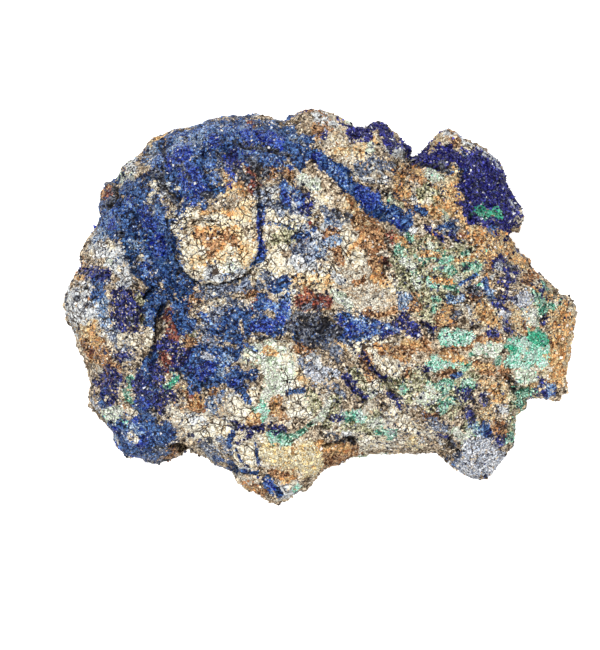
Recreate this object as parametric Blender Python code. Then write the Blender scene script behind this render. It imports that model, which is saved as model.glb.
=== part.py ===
"""An azurite specimen: one natural lump of rock, lying on its broad underside.

Blender script, metres, +Z up. Run it with blender --background --python part.py, or from the text
editor. The origin is on the surface the rock rests on, under the middle of its box.

The rock is two sheets, an upper and a lower one, that meet along its waist. Each sheet starts as a
square grid. The grid is wrapped onto a disc, the disc is stretched to the plan outline, and every
point is then lifted to the height that the relief below gives it.
"""
import math

import bmesh
import bpy
import numpy as np

MM = 0.001
NODE = "azurite_rock"

# Driving dimensions, in millimetres.
PLATEAU = 28.5  # height of the rock's top over its middle, before the mounds
FALL_TO_RIGHT = 0.11  # the top is lower on the right by this much per millimetre
FALL_TO_FRONT = 0.06  # and lower at the front (-Y) by this much per millimetre
WAIST = 0.42  # the widest level, as a share of the height there
SHOULDER = 9.5  # how far in from the outline the top is still rounding over
SHOULDER_TO_LEFT = 0.07  # it is rounder on the left by this much per millimetre
HIP = 15.0  # how far in from the outline the underside is still rounding under
SWELL = 1.0  # how far the broad lumps push the sides in and out
FOOT_SINK = 0.1  # how far the lower sheet would reach below the table if it were not worn flat
FOOT_RELIEF = 2.4  # the height of the unevenness under the rock
FOOT_PAD = (1.0, 0.0, 9.0, 7.0, 20.0)  # a flat it surely rests on: centre, radii and turn
PAD_SINK = 2.6  # how far that flat would reach below the table
GRID = 46  # cells along each side of a sheet's grid
TYPICAL_REACH = 36.0  # a middling radius of the plan, used to space the rings of points evenly

# The plan outline at the waist, counter-clockwise from +X, in millimetres.
OUTLINE = (
    (44.9, -1.2), (44.1, 1.9), (42.0, 2.1), (39.9, 4.9), (38.6, 6.1), (36.6, 7.2), (36.5, 8.6),
    (35.2, 9.5), (34.2, 10.8), (33.5, 12.5), (33.8, 13.7), (35.3, 14.4), (35.7, 15.8), (35.0, 17.8),
    (33.6, 19.9), (32.9, 21.4), (32.5, 23.6), (31.1, 25.9), (29.4, 27.7), (27.5, 29.0), (24.5, 30.1),
    (22.2, 31.1), (21.0, 30.3), (19.2, 28.4), (17.7, 27.3), (16.2, 25.9), (15.5, 26.7), (16.1, 28.2),
    (14.4, 29.0), (13.6, 30.1), (11.5, 31.9), (10.6, 32.8), (9.3, 32.6), (8.2, 31.7), (6.6, 31.7),
    (4.7, 32.7), (1.2, 34.3), (-0.5, 34.6), (-2.6, 34.3), (-6.4, 32.9), (-10.5, 33.8), (-16.3, 33.7),
    (-19.6, 33.1), (-22.0, 31.9), (-25.2, 31.3), (-29.6, 29.9), (-30.5, 28.5), (-31.6, 27.0),
    (-34.5, 25.0), (-35.7, 22.4), (-37.4, 21.9), (-38.5, 20.5), (-38.7, 18.4), (-38.5, 16.1),
    (-39.9, 13.0), (-41.9, 9.6), (-41.8, 7.2), (-43.0, 5.3), (-44.2, 3.7), (-44.9, 0.4),
    (-44.2, -1.9), (-43.0, -4.2), (-42.2, -7.5), (-40.4, -10.9), (-40.1, -13.0), (-40.4, -14.9),
    (-40.1, -17.2), (-38.5, -18.9), (-36.1, -22.0), (-35.7, -24.3), (-34.6, -25.7), (-32.4, -26.1),
    (-30.3, -27.1), (-28.5, -27.2), (-27.5, -26.6), (-25.2, -26.1), (-23.5, -25.0), (-21.5, -25.4),
    (-18.3, -27.3), (-15.2, -28.7), (-14.4, -30.8), (-11.9, -32.2), (-7.4, -34.6), (-5.4, -34.0),
    (-4.2, -32.7), (-2.3, -32.2), (-0.5, -29.8), (0.9, -28.5), (3.3, -27.5), (5.6, -26.2),
    (8.1, -25.8), (11.2, -25.4), (14.0, -25.7), (20.5, -25.6), (22.0, -26.6), (23.4, -28.0),
    (25.5, -29.2), (28.0, -30.4), (29.4, -30.6), (30.5, -29.5), (31.7, -27.5), (33.4, -25.4),
    (34.3, -23.2), (34.7, -21.0), (34.5, -18.8), (36.4, -17.1), (36.0, -16.0), (37.5, -15.6),
    (42.0, -16.2), (43.2, -14.7), (43.4, -10.9), (44.3, -7.4),
)

# Mounds and hollows of the top: centre x, centre y, radius x, radius y, turn in degrees, rise.
MOUNDS = (
    (-21.0, 20.5, 13.0, 10.5, 0.0, 6.0),  # the blue dome
    (-22.0, 25.0, 7.0, 5.5, 20.0, 2.0),  # its crown
    (-38.0, -1.0, 7.0, 10.0, 0.0, 2.5),  # the left shoulder
    (-29.5, 8.0, 3.6, 11.0, 15.0, -4.5),  # the blue valley beside it
    (-36.5, 18.5, 2.6, 3.6, 0.0, 2.5),  # a knob on the rim
    (-17.9, 9.3, 8.0, 7.0, 0.0, 3.5),  # the big round nodule
    (-26.0, -11.5, 4.0, 6.5, 0.0, 1.5),  # the dark blue mound
    (-19.0, -1.5, 6.5, 4.5, 0.0, -2.2),  # the basin
    (-8.0, -13.0, 10.0, 8.5, 0.0, 3.5),  # the pale lobe in the middle of the front
    (-7.5, -9.5, 5.0, 4.4, 0.0, 2.2),  # the green boulder on it
    (-7.0, -26.0, 9.0, 5.0, 0.0, 1.0),  # its foot
    (-31.0, -22.5, 6.0, 4.0, 20.0, 1.0),  # the blue lobe at the left front
    (7.0, 28.0, 9.5, 5.0, -10.0, 3.5),  # the tan shoulder at the back
    (6.0, 10.0, 5.0, 6.5, 15.0, 2.6),  # the cream dome
    (10.5, 10.5, 3.5, 4.5, 20.0, 2.4),  # the brown shoulder beside it
    (11.0, 18.0, 9.5, 2.8, -38.0, -3.6),  # the blue channel
    (24.0, 19.5, 3.0, 8.0, 20.0, 4.0),  # the ochre ridge
    (29.8, 10.5, 6.0, 4.5, 0.0, 2.0),  # its foot
    (30.0, 22.5, 5.0, 7.0, 15.0, -6.0),  # the hollow that holds the druse
    (20.5, 27.5, 4.5, 3.6, 20.0, -5.0),  # and its left end
    (19.0, 5.5, 8.0, 5.5, 0.0, -1.2),  # the green field
    (25.5, -1.8, 6.4, 3.2, 0.0, 1.6),  # the ringed nodule
    (1.0, -3.5, 3.6, 3.8, 0.0, -3.0),  # the dark vug
    (41.0, -6.5, 4.0, 9.0, 0.0, -2.0),  # the right lobe
    (27.8, -26.0, 6.0, 5.0, 0.0, -4.5),  # the low lilac lobe
    (14.0, -24.0, 9.0, 3.6, 0.0, -2.0),  # the front slope
    (-28.5, 29.3, 5.0, 2.6, 25.0, -4.0),  # the ledge at the back left
)

# Broken faces on the shoulders and under the hips: heading and tilt of the face in degrees (a tilt
# above zero faces up), and how far it bites into the rock.
CHIPS = (
    (262.0, 52.0, 3.2), (318.0, 48.0, 3.4), (352.0, 50.0, 2.4), (35.0, 46.0, 2.6), (98.0, 50.0, 2.6),
    (150.0, 47.0, 2.8), (196.0, 50.0, 2.6), (228.0, 45.0, 3.0),
    (275.0, -42.0, 3.0), (325.0, -50.0, 3.6), (10.0, -38.0, 3.2), (58.0, -48.0, 3.4),
    (112.0, -40.0, 3.0), (160.0, -52.0, 3.4), (205.0, -40.0, 3.2), (240.0, -52.0, 2.6),
)


def outline_polar():
    """The outline's points as headings in radians and distances from the origin."""
    points = np.array(OUTLINE)
    return np.arctan2(points[:, 1], points[:, 0]), np.hypot(points[:, 0], points[:, 1])


def reach(heading):
    """Distance from the origin to the outline at each heading."""
    angles, distances = outline_polar()
    return np.interp(heading, angles, distances, period=2 * math.pi)


def inset(x, y):
    """How far each point of the plan lies inside the outline."""
    points = np.array(OUTLINE)
    nearest = np.full(np.shape(x), np.inf)
    for (x0, y0), (x1, y1) in zip(points, np.roll(points, -1, axis=0)):
        run_x, run_y = x1 - x0, y1 - y0
        along = ((x - x0) * run_x + (y - y0) * run_y) / (run_x**2 + run_y**2)
        along = np.clip(along, 0, 1)
        nearest = np.minimum(nearest, np.hypot(x - x0 - along * run_x, y - y0 - along * run_y))
    return nearest


def rounding(depth, width):
    """A quarter-round edge: 0 at the outline, rising to 1 where depth reaches width."""
    short = 1 - np.minimum(depth / width, 1)
    return (1 - short**2.2) ** 0.5


def square_to_disc(a, b):
    """Radius and heading on a disc of a point of the square from -1 to 1: rings stay rings."""
    radius = np.maximum(np.abs(a), np.abs(b))
    safe = np.where(radius > 0, radius, 1)
    side = np.abs(a) >= np.abs(b)
    across = math.pi / 4 * b / np.where(side, np.where(a == 0, safe, a), 1) + np.where(a < 0, math.pi, 0)
    along = math.pi / 2 - math.pi / 4 * a / np.where(side, 1, b) + np.where(b < 0, math.pi, 0)
    return radius, np.where(side, across, along)


def even_rings(radius, width, climb):
    """Spreads rings evenly along a sheet's profile, from its middle (0) to the outline (1)."""
    out = 1 - (1 - np.linspace(0, 1, 3000)) ** 3
    up = climb * rounding((1 - out) * TYPICAL_REACH, width)
    steps = np.hypot(np.diff(out) * TYPICAL_REACH, np.diff(up))
    travelled = np.concatenate([[0], np.cumsum(steps)])
    return np.interp(radius * travelled[-1], travelled, out)


def mound(x, y, centre_x, centre_y, radius_x, radius_y, turn):
    """A flat-topped bump, 1 at its centre and a third of that at its radius."""
    c, s = math.cos(math.radians(turn)), math.sin(math.radians(turn))
    u = ((x - centre_x) * c + (y - centre_y) * s) / radius_x
    v = ((y - centre_y) * c - (x - centre_x) * s) / radius_y
    return np.exp(-((u * u + v * v) ** 1.4))


def top_height(x, y):
    """Height of the rock's top over the plan, away from its edge."""
    z = PLATEAU - FALL_TO_RIGHT * x + FALL_TO_FRONT * y
    for centre_x, centre_y, radius_x, radius_y, turn, rise in MOUNDS:
        z = z + rise * mound(x, y, centre_x, centre_y, radius_x, radius_y, turn)
    return z


def swell(x, y, z):
    """Broad lumps, from -1 to 1, where three slanting waves of the rock's surface cross."""
    first = np.sin(x / 3.9 + 0.31 * y + 1.3) * np.sin(y / 4.7 - 0.17 * z + 0.4)
    second = np.sin(z / 2.9 + 0.23 * x + 2.1) * np.sin(y / 3.1 - 0.22 * x + 0.9)
    return 0.5 * (first + second)


def waist_height(x, y):
    """Height of the rock's widest level at a place on or near the outline."""
    return WAIST * top_height(x, y)


def sheet_points(a, b, upper):
    """Points of the upper or lower sheet, in millimetres, from their places on the square grid."""
    radius, heading = square_to_disc(a, b)
    rim_x, rim_y = reach(heading) * np.cos(heading), reach(heading) * np.sin(heading)
    waist = waist_height(rim_x, rim_y)
    ring = even_rings(radius, SHOULDER, 18.0) if upper else even_rings(radius, HIP, 13.0)
    x, y = ring * rim_x, ring * rim_y
    depth = inset(x, y) * (radius < 1)
    if upper:
        width = SHOULDER - SHOULDER_TO_LEFT * x
        z = waist + (top_height(x, y) - waist) * rounding(depth, width)
    else:
        foot = FOOT_RELIEF * np.sin(x / 5.3 + 0.6 * np.sin(y / 6.0)) * np.sin(y / 4.6 - 0.5) - FOOT_SINK
        foot = foot - PAD_SINK * mound(x, y, *FOOT_PAD)
        z = waist - (waist - foot) * rounding(depth, HIP)
    push = SWELL * swell(x, y, z) * np.minimum(depth / 1.5, 1) * np.exp(-depth / 9)
    return np.stack([x + push * np.cos(heading), y + push * np.sin(heading), z], axis=-1)


def chipped(points):
    """Presses the points that stand past each broken face back onto it."""
    for heading, tilt, bite in CHIPS:
        heading, tilt = math.radians(heading), math.radians(tilt)
        level = math.cos(tilt)
        facing = np.array([math.cos(heading) * level, math.sin(heading) * level, math.sin(tilt)])
        standing = points @ facing
        past = np.maximum(standing - (standing.max() - bite), 0)
        points = points - past[..., None] * facing
    return points


def rock_points(upper_square, lower_square):
    """All the points of both sheets, chipped, with the underside worn flat on the table."""
    upper = sheet_points(upper_square[:, 0], upper_square[:, 1], upper=True)
    lower = sheet_points(lower_square[:, 0], lower_square[:, 1], upper=False)
    points = chipped(np.concatenate([upper, lower]))
    points[:, 2] = np.maximum(points[:, 2], 0)
    return points


def add_sheet(shape):
    """Adds a square grid to the bmesh, and gives its vertices and their places on the square."""
    corners = bmesh.ops.create_grid(shape, x_segments=GRID, y_segments=GRID, size=1.0)["verts"]
    return corners, np.array([corner.co[:2] for corner in corners])


def rock_material():
    """Iron-stained rock: a rough ochre brown."""
    material = bpy.data.materials.new(NODE)
    material.use_nodes = True
    shader = material.node_tree.nodes["Principled BSDF"]
    shader.inputs["Base Color"].default_value = (0.30, 0.20, 0.13, 1.0)
    shader.inputs["Roughness"].default_value = 0.8
    shader.inputs["Metallic"].default_value = 0.0
    return material


def build_rock():
    """The whole specimen as one closed solid."""
    shape = bmesh.new()
    upper_corners, upper_square = add_sheet(shape)
    lower_corners, lower_square = add_sheet(shape)
    places = rock_points(upper_square, lower_square) * MM
    for corner, place in zip([*upper_corners, *lower_corners], places):
        corner.co = place
    bmesh.ops.remove_doubles(shape, verts=shape.verts, dist=0.00001)
    bmesh.ops.triangulate(shape, faces=shape.faces)
    bmesh.ops.recalc_face_normals(shape, faces=shape.faces)
    mesh = bpy.data.meshes.new(NODE)
    shape.to_mesh(mesh)
    shape.free()
    mesh.materials.append(rock_material())
    rock = bpy.data.objects.new(NODE, mesh)
    bpy.context.scene.collection.objects.link(rock)
    return rock


for leftover in list(bpy.data.objects):
    bpy.data.objects.remove(leftover, do_unlink=True)
build_rock()
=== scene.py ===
# %% [markdown]
# # An azurite specimen
#
# The real thing is one lump of iron-stained rock the size of a palm. Copper-bearing water ran
# through it and left blue azurite in its hollows and veins, green malachite where the blue
# weathered, and a druse of dark blue crystals in an open pocket. Pale cracked nodules show between.
#
# The lump is made in three layers, from coarse to fine: a skin whose shape and colours are worked
# out point by point, then crystals and crumbs grown on it in their thousands, and last the fine
# grain of each surface in its shader. First comes the frame that the solid model gives.

# %% The frame and its box
import itertools
import math

import bpy
import numpy as np
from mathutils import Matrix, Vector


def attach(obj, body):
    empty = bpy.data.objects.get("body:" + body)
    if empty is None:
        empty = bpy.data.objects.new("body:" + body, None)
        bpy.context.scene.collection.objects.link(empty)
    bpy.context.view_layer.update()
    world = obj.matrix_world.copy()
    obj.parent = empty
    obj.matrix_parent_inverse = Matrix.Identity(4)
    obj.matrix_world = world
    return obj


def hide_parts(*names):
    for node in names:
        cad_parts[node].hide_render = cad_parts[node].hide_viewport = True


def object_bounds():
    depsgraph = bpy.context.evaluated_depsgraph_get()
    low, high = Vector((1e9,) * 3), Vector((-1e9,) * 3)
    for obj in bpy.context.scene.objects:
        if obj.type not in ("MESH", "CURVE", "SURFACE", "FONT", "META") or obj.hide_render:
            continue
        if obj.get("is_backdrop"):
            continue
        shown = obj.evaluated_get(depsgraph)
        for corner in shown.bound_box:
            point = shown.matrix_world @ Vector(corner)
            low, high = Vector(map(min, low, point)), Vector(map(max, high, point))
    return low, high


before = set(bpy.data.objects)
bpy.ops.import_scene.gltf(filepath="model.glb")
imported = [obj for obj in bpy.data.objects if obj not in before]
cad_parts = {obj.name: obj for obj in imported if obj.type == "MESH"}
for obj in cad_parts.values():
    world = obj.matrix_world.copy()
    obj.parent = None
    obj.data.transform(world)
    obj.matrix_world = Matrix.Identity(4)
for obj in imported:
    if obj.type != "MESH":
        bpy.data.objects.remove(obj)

MM = 0.001
ROCK_NODE = "azurite_rock"
cad_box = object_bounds()
print("The solid model's box in mm:", np.round(np.array(cad_box) * 1000, 1).tolist())

# %% [markdown]
# ## The lump
#
# A rock could be sculpted by hand or cut from a subdivided ball. Here it is two sheets, an upper and
# a lower one, that meet along the rock's widest level. Each is a square grid wrapped onto a disc, so
# the cells stay even and there is no pole. The plan outline, the mounds and the broken faces are the
# solid model's own, so the skin lies where the solid says.

# %% The lump's driving dimensions, in millimetres
PLATEAU = 28.5  # height of the rock's top over its middle, before the mounds
FALL_TO_RIGHT = 0.11  # the top is lower on the right by this much per millimetre
FALL_TO_FRONT = 0.06  # and lower at the front (-Y) by this much per millimetre
WAIST = 0.42  # the widest level, as a share of the height there
SHOULDER = 9.5  # how far in from the outline the top is still rounding over
SHOULDER_TO_LEFT = 0.07  # it is rounder on the left by this much per millimetre
HIP = 15.0  # how far in from the outline the underside is still rounding under
SWELL = 1.0  # how far the broad lumps push the sides in and out
FOOT_SINK = 0.1  # how far the lower sheet would reach below the table if it were not worn flat
FOOT_RELIEF = 2.4  # the height of the unevenness under the rock
FOOT_PAD = (1.0, 0.0, 9.0, 7.0, 20.0)  # a flat it surely rests on: centre, radii and turn
PAD_SINK = 2.6  # how far that flat would reach below the table
TYPICAL_REACH = 36.0  # a middling radius of the plan, used to space the rings of points evenly
TYPICAL_CLIMB = 18.0  # a middling height of the top over the waist, for the same use
TYPICAL_DROP = 13.0  # and of the waist over the foot
# The plan outline at the waist, counter-clockwise from +X.
OUTLINE = (
    (44.9, -1.2), (44.1, 1.9), (42, 2.1), (39.9, 4.9), (38.6, 6.1), (36.6, 7.2), (36.5, 8.6), (35.2, 9.5),
    (34.2, 10.8), (33.5, 12.5), (33.8, 13.7), (35.3, 14.4), (35.7, 15.8), (35, 17.8), (33.6, 19.9),
    (32.9, 21.4), (32.5, 23.6), (31.1, 25.9), (29.4, 27.7), (27.5, 29), (24.5, 30.1), (22.2, 31.1),
    (21, 30.3), (19.2, 28.4), (17.7, 27.3), (16.2, 25.9), (15.5, 26.7), (16.1, 28.2), (14.4, 29),
    (13.6, 30.1), (11.5, 31.9), (10.6, 32.8), (9.3, 32.6), (8.2, 31.7), (6.6, 31.7), (4.7, 32.7),
    (1.2, 34.3), (-0.5, 34.6), (-2.6, 34.3), (-6.4, 32.9), (-10.5, 33.8), (-16.3, 33.7), (-19.6, 33.1),
    (-22, 31.9), (-25.2, 31.3), (-29.6, 29.9), (-30.5, 28.5), (-31.6, 27), (-34.5, 25), (-35.7, 22.4),
    (-37.4, 21.9), (-38.5, 20.5), (-38.7, 18.4), (-38.5, 16.1), (-39.9, 13), (-41.9, 9.6), (-41.8, 7.2),
    (-43, 5.3), (-44.2, 3.7), (-44.9, 0.4), (-44.2, -1.9), (-43, -4.2), (-42.2, -7.5), (-40.4, -10.9),
    (-40.1, -13), (-40.4, -14.9), (-40.1, -17.2), (-38.5, -18.9), (-36.1, -22), (-35.7, -24.3),
    (-34.6, -25.7), (-32.4, -26.1), (-30.3, -27.1), (-28.5, -27.2), (-27.5, -26.6), (-25.2, -26.1),
    (-23.5, -25), (-21.5, -25.4), (-18.3, -27.3), (-15.2, -28.7), (-14.4, -30.8), (-11.9, -32.2),
    (-7.4, -34.6), (-5.4, -34), (-4.2, -32.7), (-2.3, -32.2), (-0.5, -29.8), (0.9, -28.5), (3.3, -27.5),
    (5.6, -26.2), (8.1, -25.8), (11.2, -25.4), (14, -25.7), (20.5, -25.6), (22, -26.6), (23.4, -28),
    (25.5, -29.2), (28, -30.4), (29.4, -30.6), (30.5, -29.5), (31.7, -27.5), (33.4, -25.4), (34.3, -23.2),
    (34.7, -21), (34.5, -18.8), (36.4, -17.1), (36, -16), (37.5, -15.6), (42, -16.2), (43.2, -14.7),
    (43.4, -10.9), (44.3, -7.4),
)
print("The outline is drawn through", len(OUTLINE), "points")

# %% Mounds and hollows, and broken faces
# Mounds and hollows: centre x, centre y, radius x, radius y, turn in degrees, rise.
MOUNDS = (
    (-21, 20.5, 13, 10.5, 0, 6), (-22, 25, 7, 5.5, 20, 2), (-38, -1, 7, 10, 0, 2.5),
    (-29.5, 8, 3.6, 11, 15, -4.5), (-36.5, 18.5, 2.6, 3.6, 0, 2.5), (-17.9, 9.3, 8, 7, 0, 3.5),
    (-26, -11.5, 4, 6.5, 0, 1.5), (-19, -1.5, 6.5, 4.5, 0, -2.2), (-8, -13, 10, 8.5, 0, 3.5),
    (-7.5, -9.5, 5, 4.4, 0, 2.2), (-7, -26, 9, 5, 0, 1), (-31, -22.5, 6, 4, 20, 1),
    (7, 28, 9.5, 5, -10, 3.5), (6, 10, 5, 6.5, 15, 2.6), (10.5, 10.5, 3.5, 4.5, 20, 2.4),
    (11, 18, 9.5, 2.8, -38, -3.6), (24, 19.5, 3, 8, 20, 4), (29.8, 10.5, 6, 4.5, 0, 2),
    (30, 22.5, 5, 7, 15, -6), (20.5, 27.5, 4.5, 3.6, 20, -5), (19, 5.5, 8, 5.5, 0, -1.2),
    (25.5, -1.8, 6.4, 3.2, 0, 1.6), (1, -3.5, 3.6, 3.8, 0, -3), (41, -6.5, 4, 9, 0, -2),
    (27.8, -26, 6, 5, 0, -4.5), (14, -24, 9, 3.6, 0, -2), (-28.5, 29.3, 5, 2.6, 25, -4),
)
# Broken faces: heading and tilt in degrees, and how far each bites in.
CHIPS = (
    (262, 52, 3.2), (318, 48, 3.4), (352, 50, 2.4), (35, 46, 2.6), (98, 50, 2.6), (150, 47, 2.8),
    (196, 50, 2.6), (228, 45, 3), (275, -42, 3), (325, -50, 3.6), (10, -38, 3.2), (58, -48, 3.4),
    (112, -40, 3), (160, -52, 3.4), (205, -40, 3.2), (240, -52, 2.6),
)
print("The top has", len(MOUNDS), "mounds and hollows, and the sides", len(CHIPS), "broken faces")


# %% The outline and the edge that rounds over it
def reach(heading):
    """Distance from the origin to the outline at each heading, straight from point to point."""
    points = np.array(OUTLINE, float)
    points = points[np.argsort(np.arctan2(points[:, 1], points[:, 0]))]
    turned_to = np.mod(heading + math.pi, 2 * math.pi) - math.pi
    number = np.searchsorted(np.arctan2(points[:, 1], points[:, 0]), turned_to)
    start_x, start_y = points[number - 1].T
    end_x, end_y = points[number % len(points)].T
    across = np.cos(heading) * (end_y - start_y) - np.sin(heading) * (end_x - start_x)
    return (start_x * end_y - start_y * end_x) / across


def line_distance(x, y, points, closed=False):
    """Least distance from each (x, y) to a line through the points, or to a single point. The
    points are pairs, or one flat row of x, y, x, y and so on."""
    ends = np.array(points, float).reshape(-1, 2)
    following = np.roll(ends, -1, axis=0) if closed else np.vstack([ends[1:], ends[-1:]])
    nearest = np.full(np.shape(x), np.inf)
    for (x0, y0), (x1, y1) in zip(ends, following):
        run_x, run_y = x1 - x0, y1 - y0
        length = run_x**2 + run_y**2
        along = 0 if length == 0 else np.clip(((x - x0) * run_x + (y - y0) * run_y) / length, 0, 1)
        nearest = np.minimum(nearest, np.hypot(x - x0 - along * run_x, y - y0 - along * run_y))
    return nearest


def rounding(depth, width):
    """A quarter-round edge: 0 at the outline, rising to 1 where depth reaches width."""
    short = 1 - np.minimum(depth / width, 1)
    return (1 - short**2.2) ** 0.5


def square_to_disc(a, b):
    """Radius and heading on a disc of a point of the square from -1 to 1: rings stay rings."""
    radius = np.maximum(np.abs(a), np.abs(b))
    safe = np.where(radius > 0, radius, 1)
    side = np.abs(a) >= np.abs(b)
    across = math.pi / 4 * b / np.where(side, np.where(a == 0, safe, a), 1) + np.where(a < 0, math.pi, 0)
    along = math.pi / 2 - math.pi / 4 * a / np.where(side, 1, b) + np.where(b < 0, math.pi, 0)
    return radius, np.where(side, across, along)


FINE_STEPS = 3000


def even_rings(radius, width, climb):
    """Spreads rings evenly along a sheet's profile, from its middle (0) to the outline (1): the
    length travelled out and up the rounded edge is the same from each ring to the next."""
    out = 1 - (1 - np.linspace(0, 1, FINE_STEPS)) ** 3
    up = climb * rounding((1 - out) * TYPICAL_REACH, width)
    steps = np.hypot(np.diff(out) * TYPICAL_REACH, np.diff(up))
    travelled = np.concatenate([[0], np.cumsum(steps)])
    return np.interp(radius * travelled[-1], travelled, out)


compass = np.radians((0, 90, 180, 270))
print("The outline reaches", reach(compass).round(1).tolist(), "mm to the right, back, left and front")


# %% The height of the top, and the lumps of the sides
def mound(x, y, centre_x, centre_y, radius_x, radius_y, turn):
    """A flat-topped bump: the exponential of minus the elliptical distance to the power 2.8."""
    c, s = math.cos(math.radians(turn)), math.sin(math.radians(turn))
    u = ((x - centre_x) * c + (y - centre_y) * s) / radius_x
    v = ((y - centre_y) * c - (x - centre_x) * s) / radius_y
    return np.exp(-((u * u + v * v) ** 1.4))


def top_height(x, y):
    """Height of the top over the plan: a tilted plane with every mound and hollow added."""
    z = PLATEAU - FALL_TO_RIGHT * x + FALL_TO_FRONT * y
    for *place_and_size, rise in MOUNDS:
        z = z + rise * mound(x, y, *place_and_size)
    return z


def swell(x, y, z):
    """Broad lumps, from -1 to 1, where slanting waves of the rock's surface cross."""
    first = np.sin(x / 3.9 + 0.31 * y + 1.3) * np.sin(y / 4.7 - 0.17 * z + 0.4)
    second = np.sin(z / 2.9 + 0.23 * x + 2.1) * np.sin(y / 3.1 - 0.22 * x + 0.9)
    return 0.5 * (first + second)


print("The top stands", round(float(top_height(0.0, 0.0)), 1), "mm high over the middle")


# %% The two sheets, and the broken faces cut into them
def sheet_points(a, b, upper):
    """Points of a sheet: the grid's place on the disc stretched to the outline, then lifted from
    the waist to the top (or lowered to the foot) by the rounded edge, then pushed by the swell."""
    radius, heading = square_to_disc(a, b)
    rim_x, rim_y = reach(heading) * np.cos(heading), reach(heading) * np.sin(heading)
    waist = WAIST * top_height(rim_x, rim_y)
    profile = (SHOULDER, TYPICAL_CLIMB) if upper else (HIP, TYPICAL_DROP)
    ring = even_rings(radius, *profile)
    x, y = ring * rim_x, ring * rim_y
    depth = line_distance(x, y, OUTLINE, closed=True) * (radius < 1)
    if upper:
        width = SHOULDER - SHOULDER_TO_LEFT * x
        z = waist + (top_height(x, y) - waist) * rounding(depth, width)
    else:
        foot = FOOT_RELIEF * np.sin(x / 5.3 + 0.6 * np.sin(y / 6.0)) * np.sin(y / 4.6 - 0.5) - FOOT_SINK
        foot = foot - PAD_SINK * mound(x, y, *FOOT_PAD)
        z = waist - (waist - foot) * rounding(depth, HIP)
    push = SWELL * swell(x, y, z) * np.minimum(depth / 1.5, 1) * np.exp(-depth / 9)
    return np.stack([x + push * np.cos(heading), y + push * np.sin(heading), z], axis=-1)


def chipped(points):
    """Presses the points that stand past each broken face back onto it."""
    for heading, tilt, bite in CHIPS:
        heading, tilt = math.radians(heading), math.radians(tilt)
        level = math.cos(tilt)
        facing = np.array([math.cos(heading) * level, math.sin(heading) * level, math.sin(tilt)])
        standing = points @ facing
        past = np.maximum(standing - (standing.max() - bite), 0)
        points = points - past[..., None] * facing
    return points


right_tip = sheet_points(np.ones(1), np.zeros(1), upper=True)[0]
print("The right tip of the waist is at", right_tip.round(1).tolist(), "mm")

# %% [markdown]
# The upper sheet shows most, so its grid is twice as fine as the lower one's. Both use the upper
# sheet's points along the waist: the lower sheet takes every second one, and a thin triangle fills
# the step to the one between, so the skin is closed.

# %% The skin's grid
LOWER_CELLS = 136
UPPER_CELLS = 2 * LOWER_CELLS


def sheet_square(cells_across):
    """The corners of a square grid from -1 to 1, row by row."""
    line = np.linspace(-1, 1, cells_across + 1)
    across, up = np.meshgrid(line, line)
    return across.ravel(), up.ravel()


def quads_of(numbers):
    """A grid of point numbers as faces, counter-clockwise."""
    corners = numbers[:-1, :-1], numbers[:-1, 1:], numbers[1:, 1:], numbers[1:, :-1]
    return np.stack(corners, axis=-1).reshape(-1, 4)


def skin_faces():
    """Faces of the upper sheet, of the lower one turned to face down, and of the waist's steps,
    and a mask of the lower grid's points that are the lower sheet's own."""
    n, m = UPPER_CELLS + 1, LOWER_CELLS + 1
    top = np.arange(n * n).reshape(n, n)
    inner = np.zeros((m, m), bool)
    inner[1:-1, 1:-1] = True
    own = n * n + np.cumsum(inner).reshape(m, m) - 1
    under = np.where(inner, own, top[::2, ::2])
    ring = np.concatenate([top[0, :-1], top[:-1, -1], top[-1, :0:-1], top[:0:-1, 0]])
    steps = np.stack([ring[::2], np.roll(ring, -2)[::2], ring[1::2]], axis=-1)
    return quads_of(top), quads_of(under)[:, ::-1], steps, inner.ravel()


upper_faces, lower_faces, waist_faces, inner = skin_faces()
upper_square = sheet_square(UPPER_CELLS)
lower_square = [side[inner] for side in sheet_square(LOWER_CELLS)]
upper_points = sheet_points(*upper_square, upper=True)
lump = chipped(np.concatenate([upper_points, sheet_points(*lower_square, upper=False)]))
UPPER_COUNT = len(upper_points)
print("The lump has", len(lump), "points,", UPPER_COUNT, "of them on top")

# %% [markdown]
# ## Noise
#
# Nothing on a rock repeats, so every fine thing below is driven by noise. Blender's noise functions
# work one point at a time, and there are tens of thousands of points, so two kinds are written here
# for whole arrays: smooth noise for lumps and patches, and cells for grains and cracked blocks.


# %% Smooth noise and cells
def scrambled(i, j, k, seed):
    """A fixed number from 0 to 1 for each point of a whole-number lattice, made by mixing bits."""
    mixed = (i * 73856093) ^ (j * 19349663) ^ (k * 83492791) ^ (seed * 40503)
    mixed = (mixed & 0xFFFFFFFF) * 1274126177 & 0xFFFFFFFF
    mixed = ((mixed ^ (mixed >> 15)) * 1103515245) & 0xFFFFFFFF
    return (mixed ^ (mixed >> 13)) / 4294967295.0


TURNED = np.array([[0.36, 0.48, -0.80], [-0.80, 0.60, 0.00], [0.48, 0.64, 0.60]])


def noise(points, size, seed=0):
    """Smooth noise from -1 to 1: random values at a lattice's corners, blended by S-curves."""
    place = points @ TURNED / size
    corner = np.floor(place)
    blend = place - corner
    blend = blend * blend * (3 - 2 * blend)
    i, j, k = corner.astype(np.int64).T
    total = 0
    for step in itertools.product((0, 1), repeat=3):
        share = np.prod(np.where(step, blend, 1 - blend), axis=1)
        total = total + share * scrambled(i + step[0], j + step[1], k + step[2], seed)
    return 2 * total - 1


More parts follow.
